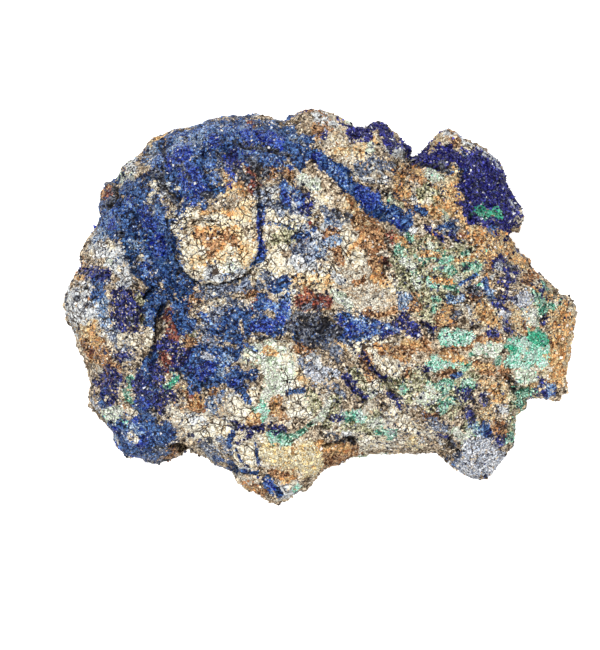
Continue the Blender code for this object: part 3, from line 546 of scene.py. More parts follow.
# %% Strokes of the blues, with the amber that lies under them
STROKES |= {
    "navy": (
        (4.4, -26, 26, -20, 28.6, -14, 29.4), (3.6, -23, 25, -22, 20.5), (3, -14, 29.6, -8, 29.4, -4, 27.8),
        (3.2, -33, 19, -31, 18, -29.3, 14, -28.8, 8), (2.4, -37.4, 14.4, -35, 17),
        (2.3, -27, 7, -25.8, 4, -24.5, 3.5), (1.5, -28.5, 1.5, -28.9, -2.5),
        (0.8, -28.7, -7, -29.7, -11, -30, -14), (1.7, -24.3, 0, -23.6, -2.4), (2.4, -20, -10.6, -22, -11.3),
        (1.8, -31, -16.5, -30, -22, -34, -23.5), (1.2, -1, 26.8, 3, 23.4, 9.5, 18, 15, 15.2),
        (1.7, -3.4, -3.6, 0.6, -4.2), (3.4, 27, 24, 30, 20, 32.5, 17.5),
        (1.8, -34.4, 15.4, -33.6, 12, -33, 9.6),
    ),
    "amber": (
        (0.5, -17.2, 10.6, -16, 9.2), (0.6, -20.6, 16.4, -18, 16.8, -15.4, 16.2),
        (0.5, -21.6, 13.8, -18, 13.4, -14.6, 13.8), (0.5, 5, 9.6, 7.4, 12.4), (0.5, 13, -8.6, 15.4, -9),
        (0.5, -8, -16, -7.6, -18.4), (0.5, -4.6, -29.6, -6.6, -30.4), (0.6, -13.2, -30.6, -11.6, -31.8),
        (0.6, -34.6, 24.6, -33, 26.4), (0.5, -40, -9, -38, -10), (0.8, 19, 17.6, 20.4, 16),
        (1.5, 24.1, 21.4, 25, 18.4, 25.8, 15.6), (1.2, 13.6, 22.4, 15, 20.4), (0.9, 16, 24.8, 17.6, 23),
        (2, 27.6, 13, 30.6, 12.8), (1.7, 29, 10, 31.6, 9.6), (1.3, 33.4, 10.6, 35.4, 8.4),
        (0.6, 17.5, 9.6, 21, 9), (0.5, 24, 8.2, 27, 9), (0.8, 13.5, 12.2, 15.5, 11),
        (0.6, 19.5, 5.2, 22.5, 4.6), (0.8, 28.6, 5.2, 29.4, 4), (0.7, 20, 12.8, 22, 11.8),
        (0.9, 38.2, 3.2, 39.8, 1.8), (1.7, 42.4, -1.5, 42, -5, 42, -9, 41.6, -12),
        (1.1, -21.3, -16.2, -20.9, -16.6), (0.7, -12.2, -19, -11, -18.4), (0.5, -41.8, 4.8, -41, 5.4),
        (0.6, -39.4, 1.9, -38.8, 1.2), (0.9, -15.6, 21.4, -13.6, 20.4), (0.8, 0.4, -24, 2, -25, 4.6, -24.6),
        (0.8, 22.4, 0.6, 21.6, -2), (1.2, 28, 0.2, 29.6, -2), (0.7, 22, -8.4, 25, -9.4),
        (0.6, 27, -10.6, 30, -10.2), (1, 30.2, -14, 31.6, -15.4), (0.7, -9.4, -7, -8, -8),
        (0.8, 9.6, 5, 10.8, 6.8), (0.7, 14.6, -5.8, 17, -6.4), (0.6, 10, -6.6, 12, -7.4),
        (0.8, -39.8, -4, -38.6, -6), (0.5, 3, -6, 4.4, -7), (0.5, -32.2, 13.6, -31.4, 15),
        (1, 20.4, 18.6, 21.8, 17.6), (1.3, 23.2, 20.8, 24, 18.6, 24.6, 16.6),
    ),
    "azure": (
        (4, -25.5, 26.3, -20, 28.8, -14, 29.4), (3.4, -23, 25, -22, 20.5), (2.4, -19, 29, -17, 26),
        (3.2, -33, 19, -31, 18, -29, 14, -28.5, 8), (2.7, -37.2, 14.6, -35, 17),
        (2.3, -27, 7, -25.8, 4, -24.5, 3.5), (1.4, -38.5, 5, -38.8, 2), (1.6, -28.5, 1.5, -28.8, -0.5),
        (1, -29, -2.5), (1.8, -24.5, 0.5, -23.7, -2.5), (2, -17.2, -4, -15, -5, -16, -2),
        (2.9, -20, -10.3, -22, -11, -18, -12), (1.8, -19, -8, -16, -8),
        (0.8, -28.5, -7, -29.5, -9, -29.8, -11, -30, -13), (2, -31.5, -17, -30, -16.5, -30, -13),
        (1.1, -22.2, -13.5), (1.7, -32, -19.5, -30, -20), (2.3, -36, -21.5, -34.6, -23.5, -33.4, -25),
        (2.2, -30, -22, -28, -22.3, -31, -24.7, -28.6, -24.8), (1.2, -37.4, -14, -38, -16.5),
        (0.5, -18.3, -26.3, -16.5, -27, -15, -28), (2.6, -14, 30, -9, 30, -6, 29, -3, 27.8),
        (2.4, -14, 27.6, -8, 27), (1.6, -2.5, 27, 0.5, 25.5), (0.9, -6.2, 21.5, -5.8, 19.5, -5.5, 18),
        (0.7, -4.5, 20.2, -3.6, 19.8), (0.3, -9.5, 14.7, -8, 14.8, -6.5, 14.3, -5, 13.8),
        (0.7, -10.2, 17.3, -10, 14.5, -10, 11, -10.3, 8.7, -11, 7.5),
        (0.45, -5, 12.3, -2.5, 12.5, -1, 13.8), (1.3, -1, 27, 1, 25.2, 3, 23.6, 5, 21.9),
        (1.4, 5, 21.7, 7.5, 19.8, 9.5, 18.1), (1.3, 9.5, 18, 11, 16.8, 13, 15.8, 15, 15),
        (0.9, -8, 3.5, -6, 4.8), (1, -10, 1.8, -10.5, 0), (1.4, -6, 0.6, -6.4, -1.2),
        (1.7, -11.4, -3.2, -9, -3.2, -7.7, -3.8), (1, -13, -1, -12.7, -5), (1.3, -14.7, -1, -15.5, -3),
        (1.1, 3.5, -1.5, 5.3, -2), (1.4, 4, -4.6, 6, -4.6), (1.5, 6.5, -3, 9, -3.7, 11, -4),
        (1.1, -14.5, -12, -13, -11.6, -11.4, -11.3), (1.6, -15.7, -12.6, -14.2, -13.4, -15, -11.5),
        (0.6, -13.5, -14.5, -12.5, -15.6), (0.4, -5.8, -14.6, -4.3, -14.5, -2.8, -14.4),
        (0.4, -15, -28.1, -13, -28.8, -11, -29), (0.8, -9.4, -30.3, -8.5, -31.8, -7.4, -32.8),
        (0.6, 17, 17.3, 18, 16.5), (0.4, 20.5, 14, 22, 14.3, 23, 14.2), (0.4, 24.5, 4.3, 26, 5, 27.3, 5.8),
        (0.6, 28.7, 4.8, 29.3, 2.8, 30, 2), (0.4, 23, -12, 24.3, -11.6), (0.8, 29, -20.7, 28.9, -22.3),
        (0.9, 28.7, -27.7, 28.9, -29), (0.7, 23.5, -27.4, 24.6, -28),
        (0.22, -14.6, -24.6, -13.9, -26.4, -12.6, -27.6), (0.2, -11.3, -24, -11, -26, -10.6, -27.6),
        (0.7, -15.5, -22, -15.8, -24), (3.4, 27, 24, 30, 20, 32.5, 17.5), (1.6, -3.4, -3.6, 0.6, -4.2),
        (1.2, -34, 14.6, -33.6, 12.4),
    ),
    "sky": (
        (1.3, -29.5, 26, -28, 27), (1.3, -24.5, 28.6, -21.5, 29.4, -19.5, 29), (0.9, -28.8, 24.6),
        (0.9, -33, 11.5, -32.2, 11), (1.3, -38, 0.7, -37.6, -1.6), (1.3, -17, -10, -16.4, -9.6),
        (1.1, -19.3, -17, -18.6, -18), (1.3, 6.4, -3, 8, -3.8), (0.9, 0, 10), (0.9, 14.8, 1.5),
        (0.8, 23, 1.9, 24.6, 1.8), (0.8, 29.5, 2.2), (1, 40.3, -14.2, 39.8, -15),
        (0.8, -38.7, 13.5, -38.2, 12.3), (0.8, 1.6, 11.4, 3, 11.8), (0.9, 27.2, -21, 28.2, -22),
        (0.7, 1.5, 15.2), (0.8, -5.6, 0.8, -5.9, -1), (0.7, -3.7, 29.6, -5, 30), (0.6, -27, 8),
        (0.8, -32.4, -21.2, -31, -21.6), (0.7, -35.4, -13.2), (0.8, -25, 25.6, -25.6, 27),
        (0.7, -16.4, 5.4), (0.7, 31.6, 7),
    ),
    "royal": (
        (1.5, -23.6, 27.4, -23.2, 23, -21.6, 20.5), (1.1, -16, 26, -15, 22.6), (1.1, -18.4, 28.6),
        (1.2, -29, 12, -28, 10), (1, -31.6, -16.8, -30.4, -17), (0.8, -22, 17.8),
        (0.8, -5.9, 21, -5.7, 18.6), (1.2, -9, -3.3, -11, -3.6), (0.9, -36.6, 14.5), (0.9, -33.5, 18.5),
        (1.2, 7.3, 19.8, 9, 18.6), (0.5, -9, -31, -8.4, -32), (0.8, -32, -19.6), (1, -36, -21.6),
        (0.6, -10.1, 16, -10.2, 9), (0.9, 13.5, 15.2), (0.9, -15, -13), (1, -0.8, 26.4),
        (0.8, -6.2, 0, -6.6, -2), (1.1, -10, 29.6, -7.6, 29), (1, -26, 25, -27, 26.4),
        (1.1, -19.4, -10.4, -21, -11.4), (0.9, -31, -23.4), (1, 3.8, -2.6, 6, -3.6, 9, -3.6, 12.4, -4),
        (0.8, 4.8, -4.9), (1, -13, 30, -12, 27.6), (1.1, -30.5, 16.5, -29.5, 14),
    ),
    "indigo": (
        (2.1, -35, 0.5, -33.8, -1.6, -33.4, 0.6), (1.1, -40.5, 6.2, -37.6, 6),
        (1.3, -27.8, -6.8, -24.6, -7.6, -24.6, -9.6), (1.1, -28.4, -10, -28.2, -12.6),
        (1.5, -38, -12.6, -36, -12, -37, -15.3), (1.2, -31.6, -12.4, -31.4, -15),
        (1.2, -28.2, -15.8, -26.4, -15.5, -27.5, -17), (1.3, -15.4, 26.6, -15, 25),
        (1.1, -3, 17.6, -1.8, 17.4), (0.6, -2.5, 19.3), (0.6, 0.8, 30.2), (1, 11.4, -4.2, 12.8, -3.9),
        (1.1, 14.4, -1.6, 15, -2.6, 16.6, -4), (0.8, 4.3, -12, 5.6, -13.5, 7, -15, 7.7, -15.6),
        (0.6, 12, -15, 13, -15.8, 14, -17), (0.55, -15.6, -20.2, -14, -21, -12, -21.3, -10, -21),
        (0.7, -8.6, -20.8, -7, -21.2, -6.3, -20.8), (0.4, -12, -22.4, -13, -23, -14.5, -23.5),
        (0.6, 2.3, -19.2, 3.3, -19.2), (1.1, 31, 8, 32.6, 7, 33.6, 6.3), (1, 32.5, 4.5, 33.4, 5),
        (0.8, 32.5, 3, 32.8, 2), (0.6, 34, 1.3), (0.7, 31.2, 0.6, 32, 0),
        (0.7, 32.6, -1.6, 32, -3, 33, -3.9), (0.7, 30.6, -4.3, 29.3, -4.7),
        (0.6, 18.5, 14.2, 20, 13, 21.6, 11.4), (0.5, 22.4, 12.6, 24, 11.4), (0.6, 33, 12.3),
        (0.4, 17.8, -2.4, 19.2, -3.3, 19.9, -4.6), (0.7, 38.8, 3), (0.7, 39, -2.4, 39.6, -1.6),
        (0.6, 18.4, -10.6), (0.9, 24.5, -15.2, 25.8, -14.9), (0.7, 28.3, -15.2, 28.5, -16.3),
        (0.8, 26.2, -18, 26.6, -19.4), (0.5, 29.6, -22, 30, -22.9), (0.8, 31.2, -23.6, 32, -23),
        (0.6, 21, -22.5, 21.8, -23), (0.45, 38.7, -12.7, 39.6, -15.6), (0.8, -22.8, -10.8),
        (0.5, -21, -22.9), (0.8, -35, -8.4, -33.6, -8.2), (0.9, -32.6, -3.2, -33.8, -3.4),
        (0.35, 7.5, -8, 8.5, -9.3, 9.5, -11, 11.5, -12.5),
    ),
    "violet": (
        (1.2, 17.2, 26.8, 19.4, 26.4, 21.4, 26.3), (1.3, 21.6, 27.6, 23.5, 26.3, 25, 25.4),
        (2.8, 27, 24.6, 29, 22, 30.5, 20, 32, 18.4), (2, 25.6, 25.4, 26.2, 22, 27.2, 18.6, 27.4, 16.6),
        (1.8, 33.6, 17, 32.2, 15.8, 33, 15.4), (1.8, 30.6, 24, 32.2, 21, 33.6, 18.8), (0.8, 4.9, 32.2),
        (1.1, 6, 31, 7, 30.4, 8, 30.5), (1.1, 9.5, 31.9, 10.5, 32, 11.5, 31.1),
        (1.2, 12, 30.2, 13, 29.9, 12.2, 29), (0.6, 14.2, 28.7, 15.4, 28.3, 16, 28.1),
    ),
    "cobalt": (
        (0.35, -13, -6.4, -11, -7.6), (0.5, -24, 27.8, -22.8, 30.6), (0.45, -16, 29.4, -14.4, 30.4),
        (0.5, -35, 16.4, -33.6, 18), (0.4, -29, 20.6, -27.8, 18.6), (0.5, 11.6, -3.2, 13.4, -4),
        (0.7, -24.5, 30, -20, 31.4, -16, 31.4), (0.6, -22, 26.6, -19, 29.4), (0.7, -28, 27, -28.6, 24.6),
        (0.5, -9, 26, -5, 24.4), (0.8, -5.4, 20.8, -3.6, 18.4), (0.8, -17.6, -9, -15.6, -10.6),
        (0.7, 5.4, -2.4, 8.4, -3.4, 10.4, -4.4), (0.7, -9.6, 0.6, -6.4, -0.6, -5.4, -2.4),
        (0.6, -30.6, 10, -30, 6), (0.7, -28.4, 17, -27.4, 13), (0.5, -24.8, 8, -24, 5.4),
        (0.6, -21, -1, -18.4, -3), (0.6, -31, -21, -29, -22.4), (0.6, -34, -22, -33, -24),
        (0.6, 2.2, 24.4, 5.4, 21.4), (0.5, 10.4, 17.6, 13.6, 15.6), (0.6, 40, -14.2, 40.8, -15),
        (0.6, -37.8, 15, -36, 17.4), (0.5, -14, 28, -11, 27), (0.3, -9.4, -31.2, -8.6, -32.4),
        (0.7, -19.6, 24.4, -18, 22), (0.5, -15, 31.2, -12, 31.4), (0.6, -29.4, -1, -29.7, -4),
    ),
}
print("Painted so far:", ", ".join(STROKES))

# %% Strokes of the last stains, over all, and of painted shade and painted glints
STROKES |= {
    # The dark grey stain of the vug and of specks here and there, and painted shade: thin dark lines along
    # many of the cracks, the dome's folds and the notch at the lower right.
    "soot_and_shade": (
        (0.5, -28.8, -24.8, -26, -25), (0.35, -16.8, -19.6, -14.6, -21.2), (0.4, 39.6, -1.6, 39, -2.4),
        (0.4, 33.8, 6.8, 33.2, 8), (0.45, 26, 3.6, 28, 3), (0.4, 18, -3.4, 19.8, -4.6),
        (0.9, -28.4, 23.6, -27.6, 21), (0.8, -14.8, 23.8, -12.8, 22.4), (0.5, -5, 29.4, -3, 28.6),
        (0.6, -23.4, 29.6), (0.5, -29.4, 16, -28.6, 19),
        (0.45, -14.7, 29.4, -12.4, 28.5, -8.6, 27.5, -4.8, 26.6),
        (0.45, -27.5, 28.5, -27, 24.7, -27.9, 21.9), (0.45, -20.9, 20, -18.5, 19),
        (0.5, 33.8, -12.8, 34.6, -14.8), (0.28, -6.6, -17.4, -3.4, -17.6), (0.5, -42.5, 6), (0.5, -41, 3.5),
        (0.5, -42.6, 1.5), (0.5, -40.2, 0.4), (0.4, -38.6, 3.2), (0.4, -37, 8.6),
        (0.5, -18, 27.4, -16.8, 24.6), (0.4, -24, 24.6, -22.6, 22), (2, -3.6, -2.4, -0.5, -2, 1.6, -3.4),
        (1.5, -2.6, -4.4, 0.8, -5.2), (0.6, -36, 21, -36, 19, -37, 17.5), (0.5, -35.2, 13, -34.3, 12.6),
        (0.6, -24.3, -11.3, -23.7, -11.8), (0.5, -29.5, -18, -29, -18.6),
        (0.45, 1.4, -24.1, 3.5, -23.4, 6, -23.9), (0.5, 1.4, -22.3, 2.8, -22.2),
        (0.6, 33.8, -13.2, 34.3, -14.4), (0.7, 17.5, 25.4, 20, 25, 22, 24.4), (0.9, 3, 16.5, 4.5, 15.5),
        (1, -11.5, 25, -9.5, 23.8), (0.6, 11.3, 19.5), (0.7, 23.4, -1.4, 24.6, -0.6),
        (0.6, -24.6, 17.6, -26.6, 19.4), (0.7, -33, -2.2), (0.5, -12.6, -5.2, -9, -5), (0.6, -19.3, -23.3),
        (0.5, 22.8, -23.6, 24, -25.4),
    ),
    "emerald": (
        (0.9, 28, 17.2, 28.8, 16.4), (0.9, 29.4, 16.6, 30.8, 16.6), (0.6, 31.4, 15.8),
        (0.9, 37.6, -5, 38.8, -5.8), (0.6, 33.2, -7, 34, -7.6), (0.3, -26.4, -13.6, -24.4, -11.8),
    ),
    "lilac": (
        (0.6, 26.3, 29.2, 28, 28.4, 29.6, 27.4, 31.1, 26, 32.2, 24.4),
        (2.3, 28.3, -25.5, 28.8, -28, 26.8, -27.5, 30, -27.3), (1.4, 25, -27.8, 26, -26),
        (1.3, -1.5, -11, -0.3, -12), (1.3, 1.3, -11.2, 2.4, -11.5), (0.8, 34.4, 1, 35.6, 2.2, 36.3, 1.3),
        (0.9, -40, -17, -39.6, -18), (0.9, 32, -0.8, 32.5, -1.5), (1, -19.4, -8.4),
        (0.9, 34.6, 18.6, 35, 17), (1.2, 27.5, -23.8, 29.5, -24.2), (0.8, 31.4, 7.2),
    ),
    # Dark specks of painted shade, over the blue and the pale parts alike.
    "shade": (
        (7, -27, 22, -14, 29), (8, -36, 14, -31, -2, -33, -15, -30, -23), (7, -20, -2, -20, -11),
        (4, -12, 24, -4, 18), (4, -2, 12, 0, 2), (4, 0, -5, 10, -4), (6, 4, -13, 18, -19, 28, -19),
        (4, 12, 24, 19, 21.5), (4.5, 29, 9, 33, 2, 39, 0), (5, 17, 7, 24, 0), (3.5, 28, -27, 31, -22),
        (4.5, 29, 22, 31, 17),
    ),
    # White flecks that are painted glints.
    "painted_glints": (
        (7, -27, 24, -14, 29), (8, -38, 10, -31, -2, -33, -15, -30, -23), (5, -19, -3, -20, -11),
        (6, -20, -23, -10, -24), (4, -8, 20, -2, 12), (4, 0, -4, 10, -4), (6, 6, -15, 18, -19, 28, -19),
        (4.5, 30, 22, 31, 17), (4, 32, 6, 31, -3), (4.5, 28, -27, 30, -22), (6, -8, -14, -9, -8),
    ),
    "bone": (
        (0.9, -5.4, -17.8, -3.2, -16.2), (1, -14.6, -16, -13.4, -17.6), (0.7, -4.6, -31),
        (0.7, -20, -18.6, -18.6, -19.6), (0.5, 12.4, -9.4, 13.4, -10), (0.8, 9, -16.6, 8.2, -18),
        (0.6, -33, -22.2, -32.2, -22.8), (0.5, -34.5, -5, -34.3, -6.6), (0.4, -31.9, -4.8, -31.9, -6.3),
        (0.5, -30, -4, -30, -6), (0.2, -26, -6.9), (0.5, -33.2, -18.2, -32.5, -18.7), (0.8, 35, 15.6),
        (0.5, -36.8, 11.6, -36, 10.2), (0.5, -30, 18.6, -29.2, 19.8), (0.5, -24.6, 20.6), (0.5, -37.6, -16),
        (0.4, -25.4, 17.2), (0.5, 24.8, 0.4, 26, -1.4, 25.6, -3), (0.5, 33.6, 5.6), (0.5, -4.6, 6.4),
        (0.6, 18.8, 18.4), (0.5, -38.4, -11), (0.5, -35, 6.8), (0.6, -31, 8.6), (0.5, -40, 9.6),
    ),
}
PAINT_ORDER = tuple(STROKES)
print(len(STROKES), "minerals and stains are painted with", sum(map(len, STROKES.values())), "strokes")

# %% [markdown]
# Cracks, seams and overhangs are strokes too, with a depth. They cut the skin and darken it. Small
# mounds raise the nodules and blocks that the solid model is too coarse to hold.

# %% The cracks and the small mounds
# Cracks: half a width and a depth, then the x and y of each point.
CRACKS = (
    (0.42, 1.2, -28.2, 22.5, -27.2, 20.8, -25.8, 19.8, -24.6, 18.7),
    (0.26, 0.8, -25.2, 12.8, -23, 14, -21, 15.2, -18.5, 15),
    (0.42, 1.1, -25.6, 12, -25.8, 9.5, -25, 6.3, -23, 4.6, -20, 3.5, -17, 3.6, -13.5, 4.5, -11.6, 6.4),
    (0.47, 1.3, -30.2, 2.3, -29, 3.6), (0.47, 1.7, -27.3, 0.4, -28, -1.5, -28.2, -4, -28.5, -5.6),
    (0.42, 0.9, -28.5, -5.6, -29.3, -8, -29.8, -11, -29.7, -14),
    (0.42, 1.2, -32, 1.5, -30.3, -0.2, -30.6, -1.8), (0.42, 1, -31, 26.8, -29, 27.6, -27, 28.2, -25.5, 29),
    (0.42, 1.1, -35.6, 21.2, -36, 19, -37, 17.5), (0.47, 1, -35.2, 13, -34.3, 12.6),
    (0.42, 1, -10.4, 25.5, -10.6, 22, -10.5, 19, -10.8, 17.5),
    (0.42, 1.1, -10.2, 17, -10, 14.5, -10, 11, -10.3, 8.7, -11, 7.5), (0.34, 1.1, 5.2, 23.5, 5.8, 21.5),
    (0.3, 0.7, 10.6, 20.2, 11, 19), (0.34, 1.4, 11, 13.5, 12, 11.5, 12.5, 10),
    (0.34, 1.1, 11.8, 8, 11.9, 6.5, 11.2, 5.2), (0.21, 0.6, -8.5, 11.9, -7, 11.3, -5.2, 11.6),
    (0.47, 1.1, -3, -2, -1.6, -3), (0.47, 1.1, 1, -2.2, 0.6, -4), (0.47, 1, -3.6, -5),
    (0.34, 1, 7.5, -8, 8.5, -9.3, 9.5, -11, 11.5, -12.5, 13, -15),
    (0.21, 0.8, 10.5, -16, 11.3, -17.2, 12, -17.8), (0.26, 1, 10.3, -18.5, 11, -19.3, 11.7, -19.9),
    (0.42, 1, 5, -13, 6.5, -15, 8, -16.3), (0.17, 0.5, -6.8, -17.5, -4.5, -17.6),
    (0.28, 0.7, -15.5, -20.3, -14, -21, -12, -21.3, -10, -21, -7, -21.5, -5, -22.3, -2.5, -21.3, 0, -20),
    (0.47, 1.7, -25.8, -24.5, -24.3, -24.6, -23.3, -25.2),
    (0.47, 1.8, 1.4, -24.2, 3.5, -23.4, 5, -23.4, 6, -23.9),
    (0.3, 0.8, -15, -28.4, -13, -29.1, -11, -29.2, -9, -29.8), (0.42, 0.9, -29.6, -18, -29, -18.6),
    (0.42, 0.8, -24.3, -11.3, -23.7, -11.8), (0.34, 0.7, -19.3, -23.3),
    (0.47, 1.5, 16.6, 25.7, 19.5, 25, 21.5, 24.1, 22.7, 24.9),
    (0.47, 1.2, 24.6, 23.3, 25.2, 21, 26.2, 18, 26.8, 15.6), (0.3, 0.9, 19.8, 12.6, 21, 11.7),
    (0.34, 0.9, 22, 12.6, 23.5, 11.5, 24.6, 11), (0.3, 0.7, 17.8, -2.4, 19.2, -3.3, 19.8, -4.5),
    (0.42, 1.6, 33.4, -12.7, 34, -13.8, 34.7, -15.2), (0.42, 1.3, 22.8, -23.6, 22.5, -24.3, 24, -25.4),
    (0.42, 0.8, 39, -2.3, 39.5, -1.7), (0.42, 0.7, 41.8, -6.4, 42.3, -6.8),
    (0.3, 0.6, 20, 1.5, 22, 2.6, 26, 3.1, 30, 2.1, 31.1, -0.5, 30, -3.3, 26, -3.9, 21, -3.7),
    (0.3, 0.7, -12, -6.2, -9, -4.8, -5, -5, -2.9, -6.6, -2.2, -9.5),
    (0.26, 0.6, -11.4, -10.4, -10, -12.6, -8.2, -14.4), (0.42, 1, -21, -13, -20.4, -13.8),
    (0.34, 0.9, 16, 3.6, 15.6, 3.2), (0.4, 0.8, -14.7, 29.4, -12.4, 28.5, -8.6, 27.5, -4.8, 26.6),
    (0.4, 0.8, -27.5, 28.5, -27, 24.7, -27.9, 21.9), (0.4, 0.7, -22.5, 31, -20.5, 28, -20, 25),
    (0.4, 0.7, -17, 31.6, -16.6, 28.4, -14.8, 26.2), (0.4, 0.7, -24.4, 23.8, -21.6, 25.2, -19, 23.6),
    (0.35, 0.6, -20.9, 20, -18.5, 19), (0.35, 0.6, -33.4, 12, -31.4, 9.4, -31.6, 6),
    (0.35, 0.6, -26, 16.4, -28, 13.4, -27.6, 9),
)
# Small mounds: centre x, centre y, radius x, radius y, turn in degrees, rise.
SMALL_MOUNDS = (
    (-12, 18.7, 1.4, 1.3, 0, 0.9), (-13.4, 16, 1.9, 1.5, 0, 0.9), (-8.6, 18.6, 1.4, 1.1, 0, 0.6),
    (-7.2, 12.8, 2.2, 1.7, -10, 0.9), (-29.6, -4.8, 0.7, 2.4, 12, 0.9), (-26.2, -2.8, 1.2, 2.5, -10, 1.2),
    (-22.4, 1.4, 1.9, 1.7, 0, 0.6), (-34.4, -5.7, 0.9, 1.3, 0, 0.7), (-31.9, -6, 0.9, 1, 0, 0.6),
    (-32.3, -22.7, 1.3, 0.9, -35, 0.7), (-21.6, -16.3, 1.5, 1.4, 0, 0.8), (-24, -13.8, 0.9, 0.8, 0, 0.6),
    (-23.4, 25.8, 2, 1.6, 20, 0.6), (-18.6, 29, 1.9, 1.6, -15, 0.6), (-12.6, 30.4, 1.9, 1.3, 0, 0.5),
    (-17.8, 22.6, 1.7, 1.4, 0, 0.6), (-8.2, 29.4, 1.8, 1.2, -20, 0.5), (-25.6, 28.8, 1.3, 1, 40, 0.5),
    (-10.6, 25.8, 1.7, 1.1, -20, 0.5), (-29.8, 11.2, 1.2, 1.9, 0, 0.5), (-12.7, -8.4, 1.7, 1.2, 0, 1),
    (5.1, 18.5, 0.8, 1.4, 30, 0.9), (-1.7, -26.5, 1.7, 2.3, 10, 1), (-13.3, -17, 2.4, 3.1, 25, 1.1),
    (-5.3, -17.3, 3.6, 2.4, 0, 1.1), (5.7, 10.3, 2.2, 2.9, 10, 1.1), (9, 12.8, 2.4, 1.8, -30, 0.7),
    (23.6, 29.1, 1, 0.9, 0, 0.8), (-6.3, 2.5, 1.7, 0.9, -15, 0.8), (23.6, 22.8, 1.5, 1.8, 20, 0.9),
    (-24.5, 15.3, 2.4, 1.5, 20, 0.7), (-12.8, -25.6, 1.3, 1.6, 20, 0.5), (-7, -26, 3, 2, 10, 0.6),
    (37, -1.2, 1.2, 1.3, 0, 0.6), (16.8, -23.4, 1.1, 1.3, 0, 0.5), (-38, -7.5, 2.2, 2, 0, 0.6),
    (-26.8, -9, 1.4, 2, 0, 0.7), (12.9, -17.3, 1, 1.3, 20, 0.6), (9.3, -13.4, 1.8, 1, -15, 0.6),
    (-2, 2, 1, 0.9, 0, 0.5),
)
print("There are", len(CRACKS), "cracks and", len(SMALL_MOUNDS), "small mounds")

# %% [markdown]
# The sides and the underside carry the same minerals as the top beside them. There each point looks
# its mineral up at a place that noise has moved, farther the more it turns from the top, which
# breaks the strokes into patches. Less mineral and more bare matrix lies underneath.

# %% How the minerals cover the rock
DRAWN_IN = 0.12  # the sides look their mineral up this much nearer the middle
SHUFFLE = 9.0  # and noise moves that place by up to this much, in millimetres
SHUFFLE_SIZE = 6.5  # in waves of this size
SHRINK_BELOW = 0.5  # strokes are smaller underneath by this share of their radius
FEWER_BLUES = 0.3  # and the blue ones are smaller on the sides too
SOFT_EDGE = 0.7  # a stroke fades over this share of its radius
BLUES = ("azure", "royal", "indigo", "sky", "navy", "violet", "cobalt")
# The most that each covers: below about 0.8, what lies under it shows through in specks.
FULL_COVER = 0.9
COVER = {
    "azure": 0.88, "ochre": 0.86, "mint": 0.82, "chalk": 0.8, "green": 0.8, "bone": 0.8, "rust": 0.78,
    "oxblood": 0.78, "lilac": 0.78, "royal": 0.76, "sage": 0.76, "soot_and_shade": 0.72, "sky": 0.7, "amber": 0.7,
    "cobalt": 0.7, "indigo": 0.66, "slate": 0.66, "shade": 0.3, "painted_glints": 0.16,
}
print(len(COVER), "of the minerals let some of what lies under them show")


# %% The lump's normals, and how much of each mineral every point has
def mesh_of(name, points, faces):
    """A mesh from points in millimetres and lists of faces."""
    mesh = bpy.data.meshes.new(name)
    mesh.from_pydata((points * MM).tolist(), [], [face for group in faces for face in group.tolist()])
    return mesh


def normals_of(mesh):
    """The outward normal at each of a mesh's points."""
    flat = np.zeros(3 * len(mesh.vertices))
    mesh.vertices.foreach_get("normal", flat)
    return flat.reshape(-1, 3)


def painted(x, y, strokes):
    """How far inside the strokes each point lies: 1 on a stroke's spine, 0 at its edge."""
    score = np.full(len(x), -9.0)
    for radius, *spine in strokes:
        score = np.maximum(score, 1 - line_distance(x, y, spine) / radius)
    return score


def mineral_shares(points, turned):
    """The share of each mineral at each point, from 0 to 1: how far the point lies inside its
    strokes, with noise added to fray their edges.

    turned is 0 on the top and 1 where the rock faces sideways or down."""
    inward = 1 - DRAWN_IN * turned
    loose = SHUFFLE * np.minimum(3 * turned, 1)
    x = points[:, 0] * inward + loose * noise(points, SHUFFLE_SIZE, 7)
    y = points[:, 1] * inward + loose * noise(points, SHUFFLE_SIZE, 8)
    fray = 0.4 * noise(points, 2.0, 11) + 0.4 * noise(points, 0.85, 12)
    made = {}
    for number, name in enumerate(PAINT_ORDER):
        score = painted(x, y, STROKES[name]) + fray + 0.5 * noise(points, 1.5, 60 + number)
        score = score - SHRINK_BELOW * np.clip(4 * turned - 3, 0, 1) - FEWER_BLUES * turned * (name in BLUES)
        made[name] = np.clip(0.5 + score / SOFT_EDGE, 0, COVER.get(name, FULL_COVER))
    return made


faces = (upper_faces, lower_faces, waist_faces)
lump_normals = normals_of(mesh_of("lump", lump, faces))
turned = np.clip((0.2 - lump_normals[:, 2]) / 0.8, 0, 1)
shown = 1 - turned
shares = mineral_shares(lump, turned)
top_shares = {name: round(float(share[:UPPER_COUNT].mean()), 2) for name, share in shares.items()}
print("Share of the top that each mineral takes:", top_shares)

# %% [markdown]
# ## The fine relief
#
# Each mineral breaks or grows in its own way. The pale nodules are cracked into blocks, malachite
# swells in little balls, azurite crusts over in small domes, and limonite is a mass of grains. So
# every point is moved along its normal by an amount that depends on what lies there. The deepest
# places are also noted as pits, and their colour is darkened as painted shade, for the shadow that
# gathers in them.


# %% Blocks, balls and cracks
def blocks(points, size, gap, seed):
    """Cracked blocks: 1 inside a cell, falling to 0 across the gap to its neighbour, and the
    cell's own number."""
    near, following, owner = cells(points, size, seed)
    return np.clip((following - near) / gap, 0, 1), owner


def balls(points, size, seed):
    """Half-balls around the middles of cells, 1 high at the middle."""
    near, _, _ = cells(points, size, seed)
    return np.sqrt(np.clip(1 - (near / (0.72 * size)) ** 2, 0, 1))


def family(shares, *names):
    """The greatest share of any of these minerals."""
    return np.max([shares[name] for name in names], axis=0)


